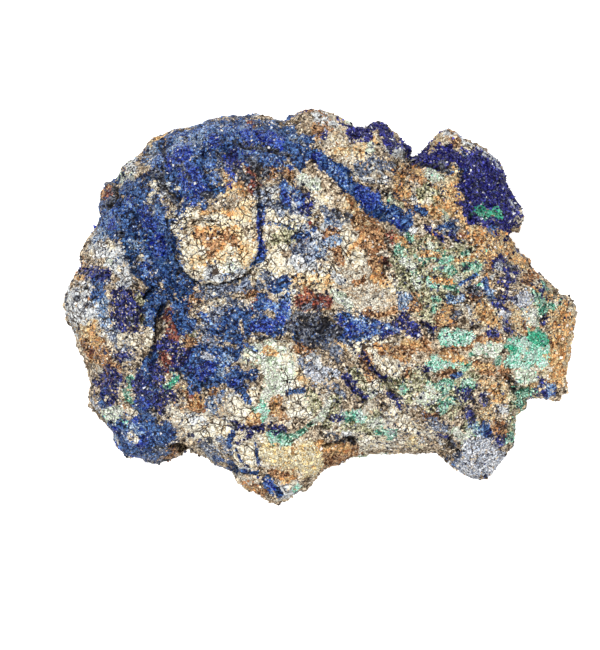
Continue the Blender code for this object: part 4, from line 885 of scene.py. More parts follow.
def crack_depth(points):
    """Depth of the cracks at each point, a rounded notch beside each line."""
    depth = np.zeros(len(points))
    x, y = points[:, 0] + 0.3 * noise(points, 1.5, 21), points[:, 1] + 0.3 * noise(points, 1.5, 22)
    for half_width, deep, *line in CRACKS:
        depth = np.maximum(depth, deep * np.exp(-(line_distance(x, y, line) / half_width) ** 2))
    return depth


print("The cracks cut up to", round(float(crack_depth(lump).max()), 1), "mm deep")

# %% The relief of each mineral
# Sizes in millimetres.
BLOCK, BLOCK_GAP = 2.1, 0.5  # the blocks that a pale nodule has cracked into
CHIPPING, CHIPPING_GAP = 1.0, 0.3  # and the small pieces that they break into
SLAB, SLAB_GAP = 6.0, 0.8  # slabs of the broken sides
GRANULE = 0.95  # grains of limonite
DOME = 0.8  # domes of azurite's crust
GREEN_BALL = 1.5  # balls of malachite
SKIN_DEPTH = 0.12  # the skin lies this much under the solid, to leave room for the grains


def relief(points, shares, shown):
    """Height to add along the normal, and how deep in a hollow each point lies, from 0 to 1, for painted
    shade: each mineral's own blocks or balls times its share, with noise, less the cracks."""
    pale, pale_owner = blocks(points, BLOCK, BLOCK_GAP, 31)
    small, small_owner = blocks(points, CHIPPING, CHIPPING_GAP, 32)
    grains, crust, green = balls(points, GRANULE, 33), balls(points, DOME, 34), balls(points, GREEN_BALL, 35)
    broken, broken_owner = blocks(points, SLAB, SLAB_GAP, 36)
    rough = 0.42 * noise(points, 3.6, 23) + 0.34 * noise(points, 1.7, 24) + 0.24 * noise(points, 0.8, 25)
    cream = family(shares, "cream", "chalk", "honey", "bone")
    blue = family(shares, "azure", "sky", "royal", "indigo", "violet", "navy", "cobalt", "slate", "lilac")
    copper = family(shares, "green", "emerald", "aqua", "mint")
    matrix = np.clip(1 - cream - blue - copper, 0, 1)
    height = rough * (1 - 0.35 * cream)
    height += cream * (0.4 * pale + 0.4 * (pale_owner - 0.5) + 0.1 * small + 0.1 * (small_owner - 0.5) - 0.3)
    height += blue * (0.34 * crust - 0.2) + copper * (0.5 * green - 0.2)
    height += matrix * (0.42 * grains + 0.25 * small - 0.35)
    height += (1 - shown) * (0.8 * (broken_owner - 0.5) + 0.4 * (broken - 1) - 0.1)
    depth = crack_depth(points) * shown
    # How deep in a hollow or crack each point lies; the skin's shader darkens its colour there as painted
    # shade.
    painted_pit_shade = cream * 0.45 * (1 - pale) + matrix * 0.8 * (1 - grains)
    painted_pit_shade += blue * 0.5 * (1 - crust) + copper * 0.45 * (1 - green)
    painted_pit_shade = np.clip(painted_pit_shade - 0.5 * rough + 0.9 * np.minimum(depth, 1.2) - 0.1, 0, 1)
    for *place_and_size, rise in SMALL_MOUNDS:
        height += shown * rise * mound(points[:, 0], points[:, 1], *place_and_size)
    return height - depth, painted_pit_shade


height, painted_pit_shade = relief(lump, shares, shown)
skin_points = lump + (height - SKIN_DEPTH)[:, None] * lump_normals
skin_points[:, 2] = np.maximum(skin_points[:, 2], 0)
print("The relief runs from", round(float(height.min()), 2), "to", round(float(height.max()), 2), "mm")

# %% [markdown]
# ## Colours
#
# Every mineral has three tones: dark in its depths, its own middle colour, and a light one where it
# is thin or catches the light. The skin's shader and the loose grains take their colours from the
# same table, so a grain of azurite belongs to the azurite it sits on.

# %% The tones of each mineral, from 0 to 255 as a screen shows them
TONES = {
    "matrix": ((52, 40, 32), (178, 154, 124), (252, 236, 208)),
    "clay": ((100, 74, 52), (222, 198, 164), (255, 250, 232)),
    "cream": ((122, 90, 54), (236, 219, 180), (255, 252, 236)),
    "chalk": ((78, 82, 96), (186, 192, 196), (252, 254, 252)),
    "ochre": ((104, 62, 30), (232, 184, 124), (255, 240, 200)),
    "rust": ((50, 28, 18), (158, 106, 70), (236, 190, 140)),
    "oxblood": ((38, 12, 12), (118, 52, 46), (186, 118, 100)),
    "vermilion": ((100, 40, 26), (184, 92, 64), (226, 166, 130)),
    "honey": ((174, 124, 60), (246, 216, 148), (255, 246, 212)),
    "slate": ((26, 36, 62), (88, 102, 130), (176, 188, 208)),
    "sage": ((68, 70, 42), (172, 170, 128), (242, 240, 204)),
    "green": ((26, 94, 76), (108, 188, 156), (210, 248, 226)),
    "aqua": ((48, 150, 122), (146, 228, 198), (230, 254, 242)),
    "mint": ((112, 136, 112), (212, 228, 198), (252, 255, 244)),
    "azure": ((2, 7, 32), (12, 44, 112), (96, 140, 204)),
    "sky": ((36, 68, 120), (108, 150, 196), (214, 230, 246)),
    "royal": ((3, 5, 62), (24, 46, 158), (104, 138, 226)),
    "indigo": ((3, 4, 26), (15, 17, 80), (78, 88, 178)),
    "navy": ((2, 10, 28), (12, 44, 96), (70, 114, 168)),
    "violet": ((3, 3, 24), (20, 16, 94), (92, 96, 200)),
    "amber": ((96, 50, 22), (226, 162, 100), (255, 218, 158)),
    "cobalt": ((8, 26, 104), (52, 100, 190), (164, 198, 240)),
    "bone": ((120, 98, 70), (226, 212, 182), (255, 250, 232)),
    # Painted light: shade is dark specks of painted shade, and the next one is white flecks of painted
    # glints.
    "shade": ((6, 8, 18), (34, 36, 56), (96, 100, 124)),
    "painted_glints": ((150, 158, 176), (216, 222, 230), (255, 255, 255)),
    # A dark grey used for the stain and for painted shade in the cracks and folds.
    "soot_and_shade": ((10, 10, 16), (62, 64, 76), (152, 158, 170)),
    "emerald": ((0, 88, 62), (28, 162, 120), (110, 216, 178)),
    "lilac": ((88, 98, 124), (190, 200, 214), (248, 250, 254)),
}


def linear(tones):
    """Screen values as light, by the screen's own curve."""
    share = np.array(tones) / 255
    return np.where(share <= 0.04045, share / 12.92, ((share + 0.055) / 1.055) ** 2.4)


def tone_at(name, place):
    """Colours along a mineral's three tones, where place runs from 0 to 1."""
    stops = linear(TONES[name])
    return np.stack([np.interp(place, (0, 0.5, 1), stops[:, channel]) for channel in range(3)], axis=-1)


print("Tones for", len(TONES), "minerals and stains")

# %% [markdown]
# ## The skin's material
#
# One Principled shader can't be a dozen minerals, but its colour can. The shares go in as attributes
# on the mesh, and the shader paints the minerals one over another in the same order as the strokes.
# Fine noise frays each edge, and a speckle of small cells picks the tone, grain by grain.


# %% A short way to write shader nodes
def add(tree, kind, inputs=(), **settings):
    """Adds a node. inputs pairs a socket's name or number with a value or with another socket."""
    made = tree.nodes.new("ShaderNode" + kind)
    for key, value in settings.items():
        setattr(made, key, value)
    for socket, value in dict(inputs).items():
        if isinstance(value, bpy.types.NodeSocket):
            tree.links.new(value, made.inputs[socket])
        else:
            made.inputs[socket].default_value = value
    return made


def math_node(tree, operation, *values):
    """A Math node's result."""
    return add(tree, "Math", dict(enumerate(values)), operation=operation).outputs[0]


def mixed(tree, share, under, over, blend="MIX"):
    """The colour over laid on the colour under, by share."""
    inputs = {0: share, 6: under, 7: over}
    return add(tree, "Mix", inputs, data_type="RGBA", blend_type=blend).outputs[2]


def span(tree, value, start, end, low=0.0, high=1.0):
    """Maps value from start..end to low..high with a soft step."""
    inputs = {0: value, 1: start, 2: end, 3: low, 4: high}
    return add(tree, "MapRange", inputs, interpolation_type="SMOOTHSTEP").outputs[0]


def grain_noise(tree, place, size, detail=2.0, roughness=0.6):
    """Noise from about 0 to 1 with features of a given size in millimetres."""
    inputs = {"Vector": place, "Scale": 1 / (size * MM), "Detail": detail, "Roughness": roughness}
    return add(tree, "TexNoise", inputs).outputs["Fac"]


def centred(tree, value):
    """A value from 0 to 1 moved to -0.5 to 0.5."""
    return math_node(tree, "SUBTRACT", value, 0.5)


def weighed(tree, total, *terms):
    """A total with each term's value times its weight added to it."""
    for value, weight in terms:
        total = math_node(tree, "MULTIPLY_ADD", value, weight, total)
    return total


RAMP_STOPS = (0.18, 0.5, 0.82)


def ramp(tree, value, name):
    """A colour ramp through a mineral's three tones."""
    made = add(tree, "ValToRGB", {0: value})
    stops = made.color_ramp.elements
    stops.new(0.5)
    for stop, position, colour in zip(stops, RAMP_STOPS, linear(TONES[name])):
        stop.position = position
        stop.color = (*colour, 1)
    return made.outputs[0]


def new_material(name):
    """A material with an empty tree, its Principled shader and its Object coordinates."""
    material = bpy.data.materials.new(name)
    material.use_nodes = True
    tree = material.node_tree
    tree.nodes.clear()
    shader = add(tree, "BsdfPrincipled")
    add(tree, "OutputMaterial", {0: shader.outputs[0]})
    return material, tree, shader, add(tree, "TexCoord").outputs["Object"]


print("The colour ramps turn at", RAMP_STOPS)


# %% The patterns of the skin's material
GRAIN = 0.44  # the size of the grains that pick a tone, in millimetres
# Cracked cells of the nodules, large and small: their size, the line's width, and its strength.
CRACKLES = ((1.9, 0.18, 1.6), (0.9, 0.12, 1.0))


def crackle(tree, place, size, width):
    """Thin lines along the borders of cells of a size, 1 on the line and 0 past its width in mm."""
    inputs = {"Vector": place, "Scale": 1 / (size * MM)}
    edge = add(tree, "TexVoronoi", inputs, feature="DISTANCE_TO_EDGE").outputs["Distance"]
    return span(tree, edge, 0.0, width / size, 1.0, 0.0)


def strayed(tree, place, drift, distance):
    """A place pushed about by a drift, so that straight lines bend. The distance is in mm."""
    inputs = {0: drift, 1: (distance * MM,) * 3, 2: place}
    return add(tree, "VectorMath", inputs, operation="MULTIPLY_ADD").outputs[0]


def skin_patterns(tree, place):
    """The skin's random patterns by name. Those from -0.5 to 0.5 are noise and grains: fray,
    mottle, broad and spot. Those from 0 up are lines: cracks and seams. hollow is 0 in the middle
    of each grain and grows towards its border."""
    drift = add(tree, "TexNoise", {"Vector": place, "Scale": 1 / (1.1 * MM), "Detail": 3.0}).outputs["Color"]
    drift = add(tree, "VectorMath", {0: drift, 1: (0.5, 0.5, 0.5)}, operation="SUBTRACT").outputs[0]
    bending, wandering = strayed(tree, place, drift, 0.5), strayed(tree, place, drift, 1.1)
    mottle = centred(tree, grain_noise(tree, wandering, 0.42, 4.0, 0.85))
    grains = add(tree, "TexVoronoi", {"Vector": wandering, "Scale": 1 / (GRAIN * MM)})
    random = add(tree, "SeparateColor", {0: grains.outputs["Color"]}).outputs
    fray = centred(tree, grain_noise(tree, place, 0.65, 2.0, 0.6))
    lines = [math_node(tree, "MULTIPLY", crackle(tree, bending, size, width), strength)
             for size, width, strength in CRACKLES]
    seams = crackle(tree, wandering, GRAIN, 0.15)
    return {
        "mottle": mottle,
        "broad": centred(tree, grain_noise(tree, place, 3.2, 2.0)),
        "spot": centred(tree, random[0]),
        "fray": weighed(tree, fray, (centred(tree, random[1]), 0.3)),
        "cracks": math_node(tree, "MAXIMUM", *lines),
        "seams": math_node(tree, "MULTIPLY", seams, span(tree, mottle, -0.12, 0.12, 1.0, 0.55)),
        "hollow": grains.outputs["Distance"],
    }


print("The nodules crack into cells of", " and ".join(str(size) for size, _, _ in CRACKLES), "mm")


# %% The skin's material
# The minerals that lie in smooth patches, and not in grains, and those that shine or crack.
CALM = (
    "clay", "amber", "bone", "cream", "chalk", "honey", "ochre", "mint", "aqua", "emerald", "lilac",
)
SHINY = ("azure", "royal", "indigo", "violet")
BRITTLE = ("cream", "chalk")
CRACK_SHADE = (0.06, 0.04, 0.03, 1)
# The dark colour of the painted shade in the hollows and cracks.
PIT_SHADE = (0.09, 0.07, 0.07, 1)


def mineral_colours(tree, pattern):
    """The colour of the minerals laid over each other, and how shiny and how brittle they are."""
    mottle, spot, broad = pattern["mottle"], pattern["spot"], pattern["broad"]
    speckle = weighed(tree, 0.6, (mottle, 3.1), (spot, 1.0), (broad, 0.8))
    calm = weighed(tree, 0.78, (mottle, 2.2), (broad, 1.0), (spot, 0.75))
    colour = ramp(tree, speckle, "matrix")
    shine, brittle = 0.0, 0.35
    for name in PAINT_ORDER:
        share = add(tree, "Attribute", attribute_name=name).outputs["Fac"]
        share = span(tree, weighed(tree, share, (pattern["fray"], 1.5)), 0.42, 0.58)
        colour = mixed(tree, share, colour, ramp(tree, calm if name in CALM else speckle, name))
        if name in SHINY:
            shine = math_node(tree, "MAXIMUM", share, shine)
        if name in BRITTLE:
            brittle = math_node(tree, "MAXIMUM", share, brittle)
    return colour, shine, brittle


def all_cracks(tree, pattern, brittle):
    """The cracks where the rock is brittle, and the seams between grains elsewhere."""
    seams = math_node(tree, "MULTIPLY", pattern["seams"], span(tree, brittle, 0.3, 1.0, 1.0, 0.35))
    in_places = span(tree, pattern["broad"], -0.15, 0.12, 0.4, 1.0)
    cracks = math_node(tree, "MULTIPLY", math_node(tree, "MULTIPLY", pattern["cracks"], brittle), in_places)
    return math_node(tree, "MAXIMUM", math_node(tree, "MINIMUM", cracks, 1.0), seams)


def skin_material():
    """Every mineral's colour by its share, dark cracks, painted shade in the pits, and a bump of cracks and
    grains.
    """
    material, tree, shader, place = new_material("weathered copper ore")
    pattern = skin_patterns(tree, place)
    colour, shine, brittle = mineral_colours(tree, pattern)
    cracks = all_cracks(tree, pattern, brittle)
    colour = mixed(tree, cracks, colour, CRACK_SHADE, "MULTIPLY")
    # Painted shade: the colour is darkened in the hollows and cracks.
    pit_share = add(tree, "Attribute", attribute_name="painted_pit_shade").outputs["Fac"]
    pit_share = span(tree, weighed(tree, pit_share, (pattern["fray"], 1.2)), 0.42, 0.95, 0.0, 0.92)
    colour = mixed(tree, pit_share, colour, PIT_SHADE, "MULTIPLY")
    tree.links.new(colour, shader.inputs["Base Color"])
    tree.links.new(span(tree, shine, 0.0, 1.0, 0.72, 0.42), shader.inputs["Roughness"])
    shader.inputs["Specular IOR Level"].default_value = 0.2
    bumps = math_node(tree, "MULTIPLY", pattern["mottle"], 2.5)
    bumps = weighed(tree, bumps, (cracks, -0.7), (pattern["hollow"], -0.8))
    bump = add(tree, "Bump", {"Height": bumps, "Strength": 0.8, "Distance": 0.05 * MM})
    tree.links.new(bump.outputs[0], shader.inputs["Normal"])
    return material


print("The skin's material paints", len(PAINT_ORDER), "layers")

# %% [markdown]
# ## The skin
#
# The skin is the rock itself, and stands for the solid model's rock. Its own UV map gives the upper
# sheet most of the square, because it shows most. An unwrap would cut it up at angles. The grid it
# was made from is already flat. The map is only for baking: the material itself reads Object
# coordinates and the shares.


# %% Putting a mesh in the scene
def give_attribute(mesh, name, values):
    """Stores one number, or one colour, for each of the mesh's points."""
    if values.ndim == 1:
        mesh.attributes.new(name, "FLOAT", "POINT").data.foreach_set("value", values.astype(np.float32))
        return
    colours = np.concatenate([values, np.ones((len(values), 1))], axis=1).astype(np.float32)
    mesh.attributes.new(name, "FLOAT_COLOR", "POINT").data.foreach_set("color", colours.ravel())


def finished(name, mesh, material):
    """Puts a mesh in the scene as a piece that rides on the rock."""
    mesh.materials.append(material)
    piece = bpy.data.objects.new(name, mesh)
    bpy.context.scene.collection.objects.link(piece)
    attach(piece, "root")
    return piece


print("Pieces will ride on root, in place of", ROCK_NODE)

# %% The skin
TOP_CORNER, TOP_HALF_SIDE = 0.005, 0.385
FOOT_CORNER, FOOT_HALF_SIDE = 0.79, 0.1


def bake_map(mesh):
    """UV of each face corner: the upper square at the lower left, the lower one at its upper right."""
    square = np.stack([np.concatenate(pair) for pair in zip(upper_square, lower_square)], axis=-1)
    corner = np.zeros(len(mesh.loops), np.int32)
    mesh.loops.foreach_get("vertex_index", corner)
    on_top = (np.arange(len(corner)) < 4 * len(upper_faces))[:, None]
    uv = np.where(on_top, TOP_CORNER + TOP_HALF_SIDE * (square[corner] + 1),
                  FOOT_CORNER + FOOT_HALF_SIDE * (square[corner] + 1))
    mesh.uv_layers.new(name="OFBake").data.foreach_set("uv", uv.astype(np.float32).ravel())


skin_mesh = mesh_of("rock_skin", skin_points, faces)
for name in PAINT_ORDER:
    give_attribute(skin_mesh, name, shares[name])
give_attribute(skin_mesh, "painted_pit_shade", painted_pit_shade)
bake_map(skin_mesh)
skin = finished("rock_skin", skin_mesh, skin_material())
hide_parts(ROCK_NODE)
print("The skin has", len(skin_mesh.vertices), "points and", len(skin_mesh.polygons), "faces")

# %% [markdown]
# ## Grains and crystals
#
# Bump can't give a druse its sparkle or a crumbly matrix its shadows, so grains and crystals are
# real. Particle systems or instances would scatter them, but each set here is one plain mesh: a
# small shape is copied to thousands of seats as one array of points. Seats are drawn at random over
# the skin's triangles, by area and by how much of the set's mineral lies there.

# %% Where each mineral shows
SEED = 20
chance = np.random.default_rng(SEED)


def showing(shares):
    """How much of each mineral isn't covered by the ones painted after it, and the bare matrix."""
    left = np.ones(len(lump))
    seen = {}
    for name in reversed(PAINT_ORDER):
        seen[name] = shares[name] * left
        left = left * (1 - shares[name])
    return {**seen, "matrix": left}


seen = showing(shares)
print("Bare matrix shows on", round(100 * float(seen["matrix"][:UPPER_COUNT].mean())), "% of the top")

# %% Seats on the skin
NEVER_LOWER = 0.6  # nothing grows nearer the table than this, in millimetres
quads = np.concatenate([upper_faces, lower_faces])
skin_triangles = np.concatenate([quads[:, [0, 1, 2]], quads[:, [0, 2, 3]]])
corner_points = skin_points[skin_triangles]
first, second, third = corner_points.transpose(1, 0, 2)
triangle_normals = np.cross(second - first, third - first)
triangle_areas = np.linalg.norm(triangle_normals, axis=1) / 2
triangle_normals /= np.maximum(2 * triangle_areas, 1e-9)[:, None]
triangle_pits = painted_pit_shade[skin_triangles].mean(axis=1)
print("The skin's area is", round(float(triangle_areas.sum()) / 100), "square cm")


def seats(count, weights):
    """Random places on the skin: a triangle by area times weight, fewer where it doesn't face up,
    then a point inside it."""
    level = np.clip(0.3 + 1.2 * triangle_normals[:, 2], 0.3, 1)
    odds = triangle_areas * weights * level * (corner_points[:, :, 2].min(axis=1) > NEVER_LOWER)
    chosen = chance.choice(len(odds), count, p=odds / odds.sum())
    u, v = chance.random((2, count))
    folded = u + v > 1
    u, v = np.where(folded, 1 - u, u), np.where(folded, 1 - v, v)
    inside = np.stack([1 - u - v, u, v], axis=1)
    places = (corner_points[chosen] * inside[:, :, None]).sum(axis=1)
    return chosen, places, triangle_normals[chosen]


def weight_of(names):
    """Each triangle's showing share of some minerals."""
    return sum(seen[name] for name in names)[skin_triangles].mean(axis=1)


# %% A tone for each grain
# Where a grain's tone lies along its mineral's three: the middle, and how far it spreads.
CALM_TONES = (0.4, 0.22)
LIVELY_TONES = (0.44, 0.28)
# Painted glints: the colour a glinting grain is mixed towards, and how far.
GLINT_LIGHT, GLINT_SHARE = 0.85, 0.75


def grain_tones(chosen, names, brightness=0.0, glints=0.02):
    """A colour for each grain: one of the minerals at its seat, at a random place in its tones.
    A few are painted glints: their colour is mixed most of the way to white."""
    odds = np.stack([seen[name][skin_triangles[chosen]].mean(axis=1) + 1e-4 for name in names])
    reach_of = np.cumsum(odds, axis=0) / odds.sum(axis=0)
    pick = (chance.random(len(chosen)) > reach_of).sum(axis=0)
    place = chance.normal(0, 1, len(chosen))
    choices = []
    for name in names:
        middle, spread = CALM_TONES if name in CALM else LIVELY_TONES
        choices.append(tone_at(name, np.clip(brightness + (middle + spread * place), 0, 1)))
    glint = GLINT_SHARE * (chance.random((len(chosen), 1)) < glints)
    return np.stack(choices)[pick, np.arange(len(chosen))] * (1 - glint) + GLINT_LIGHT * glint


print("Calm minerals' tones spread by", CALM_TONES[1], "and lively ones' by", LIVELY_TONES[1])


# %% Three small shapes
def unit(vectors):
    """Vectors made one long."""
    return vectors / np.maximum(np.linalg.norm(vectors, axis=-1, keepdims=True), 1e-9)


def crumb():
    """A broken grain: a box of eight points, and its twelve triangles facing out."""
    points = np.array(list(itertools.product((-1, 1), repeat=3))) * 0.62
    sides = ((0, 1, 3, 2), (4, 6, 7, 5), (0, 4, 5, 1), (2, 3, 7, 6), (0, 2, 6, 4), (1, 5, 7, 3))
    triangles = [t for a, b, c, d in sides for t in ((a, b, c), (a, c, d))]
    return points, np.array(triangles)


def crystal(sides, tip, girth=1.0):
    """A prism that stands on the origin, with a point as long as tip and a closed foot."""
    here, following = np.arange(sides), (np.arange(sides) + 1) % sides
    turn = here * 2 * math.pi / sides
    ring = np.stack([np.cos(turn), girth * np.sin(turn), np.zeros(sides)], axis=1) * 0.5
    points = np.concatenate([ring, ring + (0, 0, 1 - tip), [(0, 0, 1), (0, 0, 0)]])
    tip_number, foot_number = np.full(sides, 2 * sides), np.full(sides, 2 * sides + 1)
    walls = [(here, following, following + sides), (here, following + sides, here + sides)]
    caps = [(here + sides, following + sides, tip_number), (following, here, foot_number)]
    return points, np.concatenate([np.stack(part, axis=1) for part in walls + caps])


def ball():
    """A small ball: the twenty faces of an icosahedron, whose twelve points are the corners of
    three golden rectangles. Three points make a face where all are neighbours."""
    golden = (1 + 5**0.5) / 2
    rectangle = np.array([(-1, golden, 0), (1, golden, 0), (-1, -golden, 0), (1, -golden, 0)])
    points = unit(np.concatenate([np.roll(rectangle, turn, axis=1) for turn in range(3)]))
    away = np.linalg.norm(points[:, None] - points[None], axis=-1)
    trios = np.array(list(itertools.combinations(range(12), 3)))
    a, b, c = trios.T
    faces = trios[(away[a, b] < 1.1) & (away[b, c] < 1.1) & (away[a, c] < 1.1)]
    out = np.cross(points[faces[:, 1]] - points[faces[:, 0]], points[faces[:, 2]] - points[faces[:, 0]])
    inward = (out * points[faces[:, 0]]).sum(axis=1) < 0
    return points, np.where(inward[:, None], faces[:, ::-1], faces)


small_shapes = (crumb(), crystal(5, 0.45), ball())
print("Faces of a crumb, a crystal and a ball:", [len(triangles) for _, triangles in small_shapes])


# %% Growing a set of grains
ABOVE_TABLE = 0.02


def standing(normals, lean):
    """Frames that stand on the skin: a third axis near the normal, the others turned at random."""
    upright = unit(normals + lean * chance.normal(0, 1, normals.shape))
    sideways = unit(np.cross(upright, chance.normal(0, 1, normals.shape)))
    return np.stack([sideways, np.cross(upright, sideways), upright], axis=1)


def uneven_sizes(count, middle, spread, flatten):
    """Sizes in millimetres: a middle size times a random factor, and a random share on each axis."""
    whole = middle * np.exp(spread * np.clip(chance.normal(0, 1, count), -2, 1.8))
    return whole[:, None] * np.array(flatten) * np.exp(0.2 * chance.normal(0, 1, (count, 3)))


def grow(name, shape, count, minerals, weights, size, spread, lean, material,
         flatten=(1, 1, 1), sink=0.1, jitter=0.0, brightness=0.0, glints=0.02):
    """One mesh of a shape copied to every seat: each copy's points are jittered, scaled by its
    three sizes, sunk by a share of its height, turned into its frame and moved to its seat."""
    points, triangles = shape
    chosen, places, normals = seats(count, weights)
    frames = standing(normals, lean)
    sizes = uneven_sizes(count, size, spread, flatten)
    tones = grain_tones(chosen, minerals, brightness, glints)
    local = points[None] * (1 + jitter * chance.normal(0, 1, (count, len(points), 1)))
    local = local * sizes[:, None, :]
    local[:, :, 2] -= sink * sizes[:, None, 2]
    world = places[:, None, :] + np.einsum("gpi,gij->gpj", local, frames)
    world[:, :, 2] = np.maximum(world[:, :, 2], ABOVE_TABLE)
    all_triangles = triangles[None] + len(points) * np.arange(count)[:, None, None]
    mesh = mesh_of(name, world.reshape(-1, 3), [all_triangles.reshape(-1, 3)])
    give_attribute(mesh, "tone", np.repeat(tones, len(points), axis=0))
    print(name, "has", count, "grains and", len(mesh.polygons), "faces")
    return finished(name, mesh, material)


print("Grains stay", ABOVE_TABLE, "mm above the table")


# %% The grains' material
MOTTLE_SIZE = 0.2


def grain_material(name, roughness, contrast, specular):
    """Each grain's own tone, darkened and lightened by a fine mottle, with a little bump."""
    rougher, smoother = roughness + 0.1, roughness - 0.1
    material, tree, shader, place = new_material(name)
    tone = add(tree, "Attribute", attribute_name="tone").outputs["Color"]
    mottle = grain_noise(tree, place, MOTTLE_SIZE)
    light = span(tree, mottle, 0.3, 0.7, 1 - contrast, 1 + contrast)
    colour = add(tree, "VectorMath", {0: tone, "Scale": light}, operation="SCALE").outputs[0]
    tree.links.new(colour, shader.inputs["Base Color"])
    tree.links.new(span(tree, mottle, 0.2, 0.8, smoother, rougher), shader.inputs["Roughness"])
    shader.inputs["Specular IOR Level"].default_value = specular
    bump = add(tree, "Bump", {"Height": mottle, "Strength": 0.4, "Distance": 0.05 * MM})
    tree.links.new(bump.outputs[0], shader.inputs["Normal"])
    return material


stone = grain_material("limonite crumbs", 0.75, 0.35, 0.2)
calcite = grain_material("pale nodule grains", 0.6, 0.25, 0.3)
copper_green = grain_material("velvety malachite", 0.7, 0.3, 0.2)
blue_glass = grain_material("azurite crystals", 0.3, 0.3, 0.3)

print("Grain materials:", [made.name for made in (stone, calcite, copper_green, blue_glass)])

# %% [markdown]
# ## Crumbs of the matrix
#
# Limonite and clay crumble. Their grains lie thickest in the bare matrix, and cover the sides too.
# A displaced surface would look soft there, and loose blocks have the sharp shadows of real crumbs.

# %% Crumbs of the matrix
# Crumbs where the painted shade lies take its dark tones too.
MATRIX_NAMES = ("matrix", "clay", "ochre", "rust", "oxblood", "vermilion", "soot_and_shade", "shade", "amber")
bare = weight_of(MATRIX_NAMES) ** 1.5 * (1.1 - triangle_pits)
grow("limonite_crumbs", crumb(), 10000, MATRIX_NAMES, bare, size=0.17, spread=0.4, lean=0.6,
     material=stone, jitter=0.16)

# %% [markdown]
# ## Pale grains of the nodules
#
# The cream nodules are compact, and only a few chips stick to them, away from the cracks.

# %% Pale grains of the nodules
PALE_NAMES = ("cream", "chalk", "honey", "bone")
pale_faces = weight_of(PALE_NAMES) * (1.1 - triangle_pits) ** 2
grow("nodule_grains", crumb(), 1700, PALE_NAMES, pale_faces, size=0.14, spread=0.45, lean=0.45,
     material=calcite, sink=0.25, jitter=0.14, brightness=0.1)

# %% [markdown]
# ## The blue crust of azurite
#
# Azurite coats the hollows with a crust of tiny broken crystals. They are too small to show their
# faces, so the same blocks do, flatter and a little darker, with the gloss of glass.

# %% The blue crust of azurite
BLUE_NAMES = ("azure", "sky", "royal", "navy", "cobalt", "slate", "lilac")
crusted = weight_of(BLUE_NAMES) * (1.15 - triangle_pits)
grow("azurite_crust", crumb(), 11000, BLUE_NAMES, crusted, size=0.125, spread=0.38, lean=0.7,
     material=blue_glass, flatten=(1, 1, 0.8), jitter=0.14, brightness=-0.06)

# %% [markdown]
# ## The dark druse
#
# In the open pocket the crystals had room, and grew about half a millimetre long with flat sides and
# a point. They are five-sided prisms here, squeezed one way, and a few carry painted glints, a colour near
# white.

# %% The dark druse
DARK_NAMES = ("violet", "indigo", "royal")
open_pocket = weight_of(("violet",)) + 0.5 * weight_of(("indigo",)) + 0.15 * weight_of(("royal",))
grow("azurite_druse", crystal(5, 0.45, 0.6), 8500, DARK_NAMES, open_pocket, size=0.34, spread=0.3,
     lean=0.45, material=blue_glass, flatten=(0.9, 0.9, 1.3), sink=0.35,
     brightness=-0.09, glints=0.018)

# %% [markdown]
# ## Malachite
#
# Malachite swells into velvety balls. A ball of twenty faces is round enough at a tenth of a
# millimetre, and three thousand of them stay light.

# %% Malachite
GREEN_NAMES = ("green", "emerald", "aqua", "mint", "sage")
velvety = weight_of(GREEN_NAMES) * (1.1 - triangle_pits)
grow("malachite_balls", ball(), 3000, GREEN_NAMES, velvety, size=0.11, spread=0.4, lean=0.4,
     material=copper_green, sink=0.2, jitter=0.12, brightness=0.05)

# %% [markdown]
# ## The floor, the lights and the camera
#
# The specimen lies on a white light table, as such pieces often do for a catalogue. A plain floor in
# shade would come out grey. This one gives off a little light of its own, which washes out the
# shadow. A lamp stands high behind the rock and a larger, weaker one in front, to fill.

# %% The floor
FLOOR_SIDE = 3.0
FLOOR_GREY = 0.8
FLOOR_GLOW = 0.85
half = FLOOR_SIDE / 2
floor_corners = [(-half, -half, 0), (half, -half, 0), (half, half, 0), (-half, half, 0)]
floor_mesh = bpy.data.meshes.new("floor")
floor_mesh.from_pydata(floor_corners, [], [(0, 1, 2, 3)])
floor_material, _, floor_shader, _ = new_material("light table")
floor_shader.inputs["Base Color"].default_value = (FLOOR_GREY, FLOOR_GREY, FLOOR_GREY, 1)
floor_shader.inputs["Emission Color"].default_value = (1, 1, 1, 1)
floor_shader.inputs["Emission Strength"].default_value = FLOOR_GLOW
floor_shader.inputs["Roughness"].default_value = 0.9
floor_mesh.materials.append(floor_material)
floor = bpy.data.objects.new("floor", floor_mesh)
bpy.context.scene.collection.objects.link(floor)
floor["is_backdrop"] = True
print("The floor is", FLOOR_SIDE, "m across")

# %% The lights
WORLD_LIGHT = 0.22
AIM = (0, 0, 0.02)


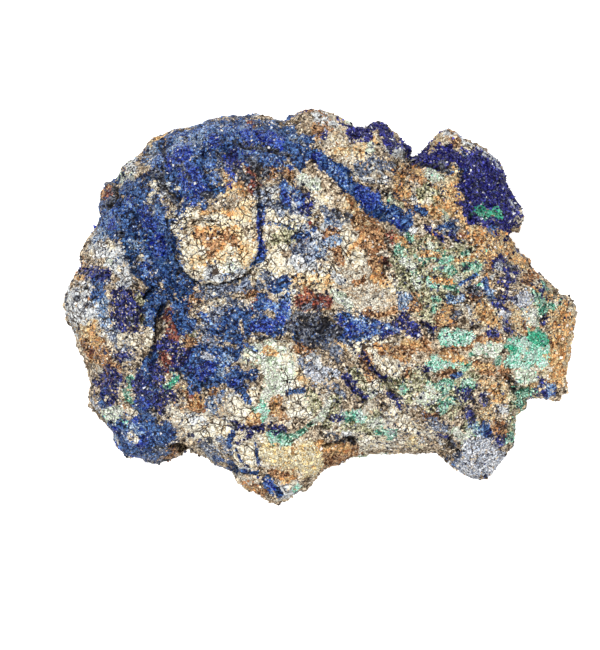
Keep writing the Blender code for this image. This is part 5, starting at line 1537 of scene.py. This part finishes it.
def area_light(name, place, side, power):
    """A square lamp that looks at the rock, in metres and watts."""
    lamp = bpy.data.lights.new(name, "AREA")
    lamp.size, lamp.energy = side, power
    holder = bpy.data.objects.new(name, lamp)
    holder.location = place
    away_x, away_y, down = np.array(AIM) - np.array(place)
    tilt = math.atan2(math.hypot(away_x, away_y), -down)
    holder.rotation_euler = (tilt, 0, math.atan2(-away_x, away_y))
    bpy.context.scene.collection.objects.link(holder)
    print("The", name, "light tilts by", round(math.degrees(tilt)), "degrees")


area_light("key", (-0.16, 0.3, 0.92), 0.22, 10.0)
area_light("fill", (0.36, -0.62, 0.75), 0.5, 6.2)
world = bpy.data.worlds.new("studio")
world.use_nodes = True
world.node_tree.nodes["Background"].inputs["Color"].default_value = (1, 1, 1, 1)
world.node_tree.nodes["Background"].inputs["Strength"].default_value = WORLD_LIGHT
bpy.context.scene.world = world
bpy.context.scene.view_settings.view_transform = "Standard"

# %% [markdown]
# The camera looks straight down from two metres, so there is hardly any perspective. Its lens
# follows from how many millimetres one pixel of the frame shows.

# %% The camera
MM_PER_PIXEL = 0.175
IMAGE_HEIGHT = 650
SENSOR = 36.0
CAMERA_RISE = 2000.0
FOCUS_LEVEL = 20.0
VIEW_CENTRE = (-3.5, -3.0)

camera_data = bpy.data.cameras.new("camera")
camera_data.sensor_width = SENSOR
camera_data.lens = SENSOR * CAMERA_RISE / (IMAGE_HEIGHT * MM_PER_PIXEL)
camera = bpy.data.objects.new("camera", camera_data)
camera.location = (VIEW_CENTRE[0] * MM, VIEW_CENTRE[1] * MM, (CAMERA_RISE + FOCUS_LEVEL) * MM)
bpy.context.scene.collection.objects.link(camera)
bpy.context.scene.camera = camera
print("The camera's lens is", round(camera_data.lens), "mm")

# %% [markdown]
# Last, the two boxes are measured, and how far the grains stand outside the solid's box is printed.
# The grains may stand a little outside the solid's box, and no more.

# %% The sizes, and the last line
visual_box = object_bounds()
boxes = {"cad": [list(corner) for corner in cad_box], "visual": [list(corner) for corner in visual_box]}
beyond = (np.array(boxes["visual"]) - np.array(boxes["cad"])) * 1000
print("Beyond the solid's box in mm:", beyond.round(2).tolist())
